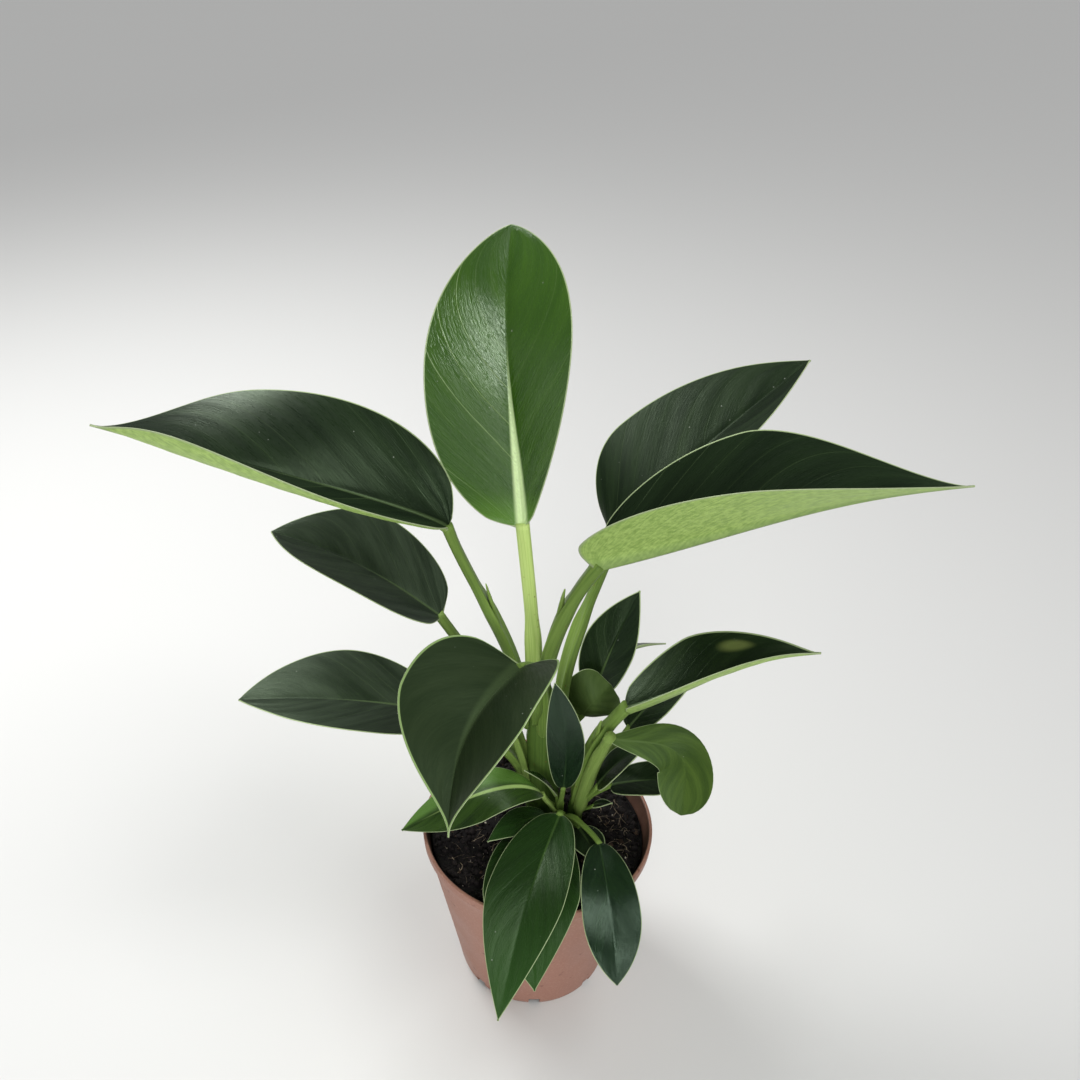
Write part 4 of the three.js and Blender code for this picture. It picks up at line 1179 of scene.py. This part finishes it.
leaf("right_bract", "dark", (0.028, 0.002, 0.110), (0.038, 0.0, 0.115), 0.006,
     root=(0.021, 0.008, 0.097), stalk={"radius": 0.0011}, arch=0.001, fold=8)
leaf("front_upright", "glossy", (0.012, -0.004, 0.129), (0.005, -0.003, 0.198), 0.019,
     root=(0.011, 0.005, 0.097), stalk={"radius": 0.0013},
     up=(0, -1, 0.2), arch=0.002, side=0.003, fold=14, widest=0.5, tip_power=1.8, tip_sharp=0.85,
     base_width=0.12, base_taper=0.6)
leaf("front_left", "arched", (0.002, -0.002, 0.121), (-0.0697, -0.012, 0.1019), 0.036,
     root=(0.010, 0.004, 0.098), stalk={"radius": 0.0017, "pale": 0.3},
     arch=0.0136, side=-0.0014, skew=0.585, roll=1.8, widest=0.4, tip_power=1.36, tip_sharp=0.96,
     left={"fold": 8, "fold_tip": -48, "at_base": 0.757, "at_tip": 1.034},
     right={"fold": -12, "fold_tip": 18, "at_base": 0.822, "at_tip": 1.264})
leaf("front_small_left", "fresh", (0.005, -0.001, 0.105), (-0.025, -0.024, 0.110), 0.018,
     root=(0.010, 0.004, 0.097), stalk={"radius": 0.0012}, arch=0.004, fold=4)
leaf("front_large", "fresh", (0.011, -0.008, 0.114), (-0.015, -0.106, 0.088), 0.041,
     root=(0.011, 0.003, 0.097), stalk={"radius": 0.0019, "bend": 1},
     arch=0.008, side=0.0015, fold=8, widest=0.48, base_width=0.12, base_taper=0.62,
     left={"at_base": 0.9, "at_tip": 0.8})
leaf("front_under", "fresh", (0.003, -0.008, 0.102), (0.001, -0.090, 0.087), 0.047,
     root=(0.010, 0.003, 0.097), stalk={"radius": 0.0014, "seat": 0.0009},
     arch=0.011, side=0.004, fold=6, widest=0.5, left={"lobe": 0.001}, right={"lobe": 0.001})
leaf("front_glossy", "glossy", (0.031, -0.020, 0.108), (0.040, -0.080, 0.079), 0.029,
     root=(0.012, 0.004, 0.097), stalk={"radius": 0.0015, "bend": 1},
     arch=0.008, fold=12, widest=0.55, tip_power=2.1, tip_sharp=0.9, base_width=0.1, base_taper=0.65)
leaf("front_short", "dark", (0.021, -0.003, 0.099), (0.032, -0.028, 0.100), 0.018,
     root=(0.012, 0.004, 0.096), stalk={"radius": 0.0011}, arch=0.002, fold=5)
leaf("front_bud", "fresh", (0.009, 0.006, 0.113), (-0.008, 0.005, 0.131), 0.010,
     root=(0.010, 0.006, 0.098), stalk={"radius": 0.0011, "seat": 0.0009},
     arch=0.002, roll=20, fold=5)
print("leaves:", len(LEAVES))

# %% Lay every blade
FLAT_SKINS = ("heart", "glossy")            # blades with a shallow channel
YOUNG_SKINS = ("crown", "olive", "pale")

blade_faces = 0
for number, (name, values) in enumerate(LEAVES.items()):
    skin_name = values["skin"]
    depth = FLAT_CHANNEL if skin_name in FLAT_SKINS else CHANNEL
    shape = two_faced(values["blade"], 1.7 * number + 0.4, values["stalk"]["radius"], depth)
    slot = "young_leaf" if skin_name in YOUNG_SKINS else "leaf"
    piece = finished("blade_" + name, shape, [SKINS[skin_name], underside, margin], slot, "leaf_" + name)
    blade_faces += len(piece.data.polygons)
print("faces in all blades:", blade_faces)

# %% [markdown]
# ## Stalks and sheaths
#
# A stalk is round and mid green, or pale on a young leaf, with a shallow groove on its inner side. Lower
# down it widens into a sheath: two wings that clasp the next leaf. Where they end, a torn tip may stand free.
# A stalk could be a curve with a round bevel, but the groove and wings change along it. So a cylinder is
# divided along its length and bent, with its section set point by point.

# %% Stalk skin
STALK_DEEP = (0.066, 0.125, 0.022)
STALK_LIGHT = (0.15, 0.24, 0.045)
STALK_LOW = (0.050, 0.095, 0.020)
WING_COLOUR = (0.20, 0.31, 0.065)
YOUNG_DEEP = (0.40, 0.56, 0.14)
YOUNG_LIGHT = (0.58, 0.72, 0.26)
SPECK_COLOUR = (0.16, 0.10, 0.03)


def stalk_skin():
    """Green and streaked lengthwise, deeper low down, lighter on the wings and pale on a young stalk."""
    skin, shader = new_skin("stalk", 0.42, specular=0.15)
    shader.inputs["Specular Tint"].default_value = (*GREEN_SHEEN, 1)
    across, along, seed = attribute(skin, "stalk_place")
    wing, low, pale = attribute(skin, "stalk_tone")
    streaks = streaked(skin, across, along, seed, (9, 2.2), detail=4)
    fine = streaked(skin, across, along, seed, (40, 6))
    tone = fade(skin, calculate(skin, "MULTIPLY_ADD", fine, 0.4, streaks), 0.4, 1.0)
    colour = blend(skin, tone, STALK_DEEP, STALK_LIGHT)
    colour = blend(skin, low, colour, STALK_LOW)
    colour = blend(skin, times(skin, wing, 0.45), colour, WING_COLOUR)
    colour = blend(skin, pale, colour, blend(skin, tone, YOUNG_DEEP, YOUNG_LIGHT))
    speck = fade(skin, mottle(skin, on_object(skin), 420, detail=1), 0.74, 0.80, 0.0, 0.7)
    colour = blend(skin, speck, colour, SPECK_COLOUR)
    wire(skin, shader, Base_Color=colour, Roughness=fade(skin, streaks, 0.3, 0.7, 0.36, 0.5))
    relief(skin, shader, calculate(skin, "ADD", streaks, fine), 0.12 * MM, 0.6)
    return skin


# %% Bending a cylinder along a route
SHEATH_FADE = 0.09        # half the share of a stalk over which its wings run out
ROOT_FADE = 0.12          # share of a stalk over which it grows to its full width out of the stem
ROOT_WIDTH = 0.45         # its width inside the stem, as a share of its full width
RISE_LEAN = 0.35          # how far a stalk leans towards its blade as it leaves the stem
RISE_REACH = 0.38         # reach of the curve's lower handle, as a share of its span
END_REACH = 0.32          # the same for its upper handle
STALK_FLATNESS = 0.85     # depth of a stalk without wings, as a share of its width
BLADE_HOLD = 1.2 * MM     # how far a stalk runs on into its blade
CREST_HEIGHT = 0.28       # of a wing, in stalk radii
CREST_ANGLES = (38, 142)  # where the two wings stand on the section, in degrees
CREST_WIDTH = 15
EAR_START = 0.15          # how far below its sheath's end a torn tip starts, as a share of the stalk


def curve_point(points, t):
    """A point of the Bezier curve with these control points."""
    points = [Vector(p) for p in points]
    while len(points) > 1:
        points = [a.lerp(b, t) for a, b in zip(points, points[1:])]
    return points[0]


def curve_heading(points, t):
    step = 1e-3
    return (curve_point(points, min(t + step, 1)) - curve_point(points, max(t - step, 0))).normalized()


def bent(bm, route, sides, steps, right, section, tone):
    """Adds a cylinder bent along a route. section() gives width and depth, tone() its colour numbers."""
    place = number_layer(bm, "stalk_place")
    shade = number_layer(bm, "stalk_tone")
    seed = route[0].x * 900 + route[-1].z * 300
    for vert in upright_tube(bm, sides, steps):
        t = min(max(vert.co.z, 0), 1)
        angle = math.atan2(vert.co.y, vert.co.x)
        heading = curve_heading(route, t)
        inner = right.cross(heading).normalized()
        side = inner.cross(heading)
        wide, deep = section(t, angle)
        vert.co = curve_point(route, t) + side * wide + inner * deep
        vert[place] = (math.cos(angle) + 2 * (math.sin(angle) > 0), t, seed)
        vert[shade] = tone(t, angle)


# %% One stalk
def stalk_route(blade, stalk):
    base = Vector(blade["base"])
    root = Vector(stalk["root"])
    reach = base - root
    heading = reach.normalized()
    lean = (heading + midrib_heading(blade, 0) * stalk["bend"]).normalized()
    rise = (Vector((0, 0, 1)) + heading * RISE_LEAN).normalized()
    end = base - lean * stalk["seat"]
    length = reach.length
    bow = Vector(stalk["bow"])
    rising = root + rise * length * RISE_REACH + bow
    ending = end - lean * length * END_REACH + bow
    return [root, rising, ending, end + lean * (stalk["seat"] + BLADE_HOLD)]


def add_stalk(bm, blade, stalk):
    route = stalk_route(blade, stalk)
    _, _, across = blade_frame(blade)
    radius = stalk["radius"]

    def winged(t):
        return smooth_step(0, 2 * SHEATH_FADE, stalk["sheath"] + SHEATH_FADE - t)

    def section(t, angle):
        wing = winged(t)
        inner = max(math.sin(angle), 0)
        groove = lerp(0.22, 0.62, wing) * smooth_step(1.0, 0.9, t) * inner ** 3
        degrees = math.degrees(angle)
        crest = wing * CREST_HEIGHT * sum(
            math.exp(-((degrees - middle) / CREST_WIDTH) ** 2) for middle in CREST_ANGLES)
        grown = lerp(ROOT_WIDTH, 1, smooth_step(0, ROOT_FADE, t))
        wide = grown * radius * lerp(1, stalk["flare"], wing) * math.cos(angle) * (1 + 0.3 * crest)
        deep = grown * radius * lerp(STALK_FLATNESS, 1, wing) * (math.sin(angle) * (1 - groove) + crest)
        return wide, deep

    def tone(t, angle):
        wing = winged(t) * smooth_step(0.2, 0.6, math.sin(angle))
        return wing, 0.4 * smooth_step(0.4, 0.0, t) * (1 - stalk["pale"]), stalk["pale"]

    length = (route[-1] - route[0]).length
    steps = max(14, round(length / (2.5 * MM)))
    bent(bm, route, 24, steps, across, section, tone)
    if stalk["auricle"]:
        add_ear(bm, route, stalk, across)


def add_ear(bm, route, stalk, across):
    """The free, torn end of a sheath: a thin strip that leaves the stalk's inner side."""
    shoulder = curve_point(route, stalk["sheath"])
    heading = curve_heading(route, stalk["sheath"])
    out = across.cross(heading).normalized()
    tip = shoulder + heading * stalk["auricle"] * 0.6 + out * (stalk["radius"] + stalk["auricle"] * 0.1)
    middle = shoulder + out * stalk["radius"]
    ear = [curve_point(route, stalk["sheath"] - EAR_START), middle, tip]

    def section(t, angle):
        size = stalk["radius"] * lerp(0.9, 0.15, t)
        return size * math.cos(angle), size * 0.6 * math.sin(angle)

    def tone(t, angle):
        return lerp(0.6, 1, t), 0, 0.25 * t

    bent(bm, ear, 12, 10, across, section, tone)


# %% One stem
COLLAR = SOIL_LEVEL + 3 * MM
SWELLINGS = 5
SWELLING_SIZE = 0.05
SPEAR_NARROWING = 0.85
SPEAR_START = 0.80        # the stem's top narrows from here into the rolled tip of the next leaf


def add_stem(bm, stem):
    """An upright foot and a tapering, leaning part, with swellings, that ends in a rolled tip."""
    foot = Vector(stem["foot"])
    top = Vector(stem["top"])
    thick, thin = stem["radii"]

    def section(t, angle):
        swell = SWELLING_SIZE * math.cos(2 * math.pi * SWELLINGS * t) ** 8
        spear = 1 - SPEAR_NARROWING * smooth_step(SPEAR_START, 1.0, t)
        radius = lerp(thick, thin, t) * (1 + swell) * spear
        return radius * math.cos(angle), radius * math.sin(angle)

    def tone(t, angle):
        return 0, 0.9 - 0.4 * t, 0

    route = [foot, Vector((foot.x, foot.y, COLLAR)), top]
    bent(bm, route, 32, 36, Vector((1, 0, 0)), section, tone)


# %% Grow the three shoots
stalks = stalk_skin()
for stem_name, stem in STEMS.items():
    bm = bmesh.new()
    add_stem(bm, stem)
    for values in LEAVES.values():
        if values["stem"] == stem_name:
            add_stalk(bm, values["blade"], values["stalk"])
    piece = finished("stalks_" + stem_name, bm, [stalks], "stalk", "shoot_" + stem_name)
    print(piece.name, "faces:", len(piece.data.polygons))
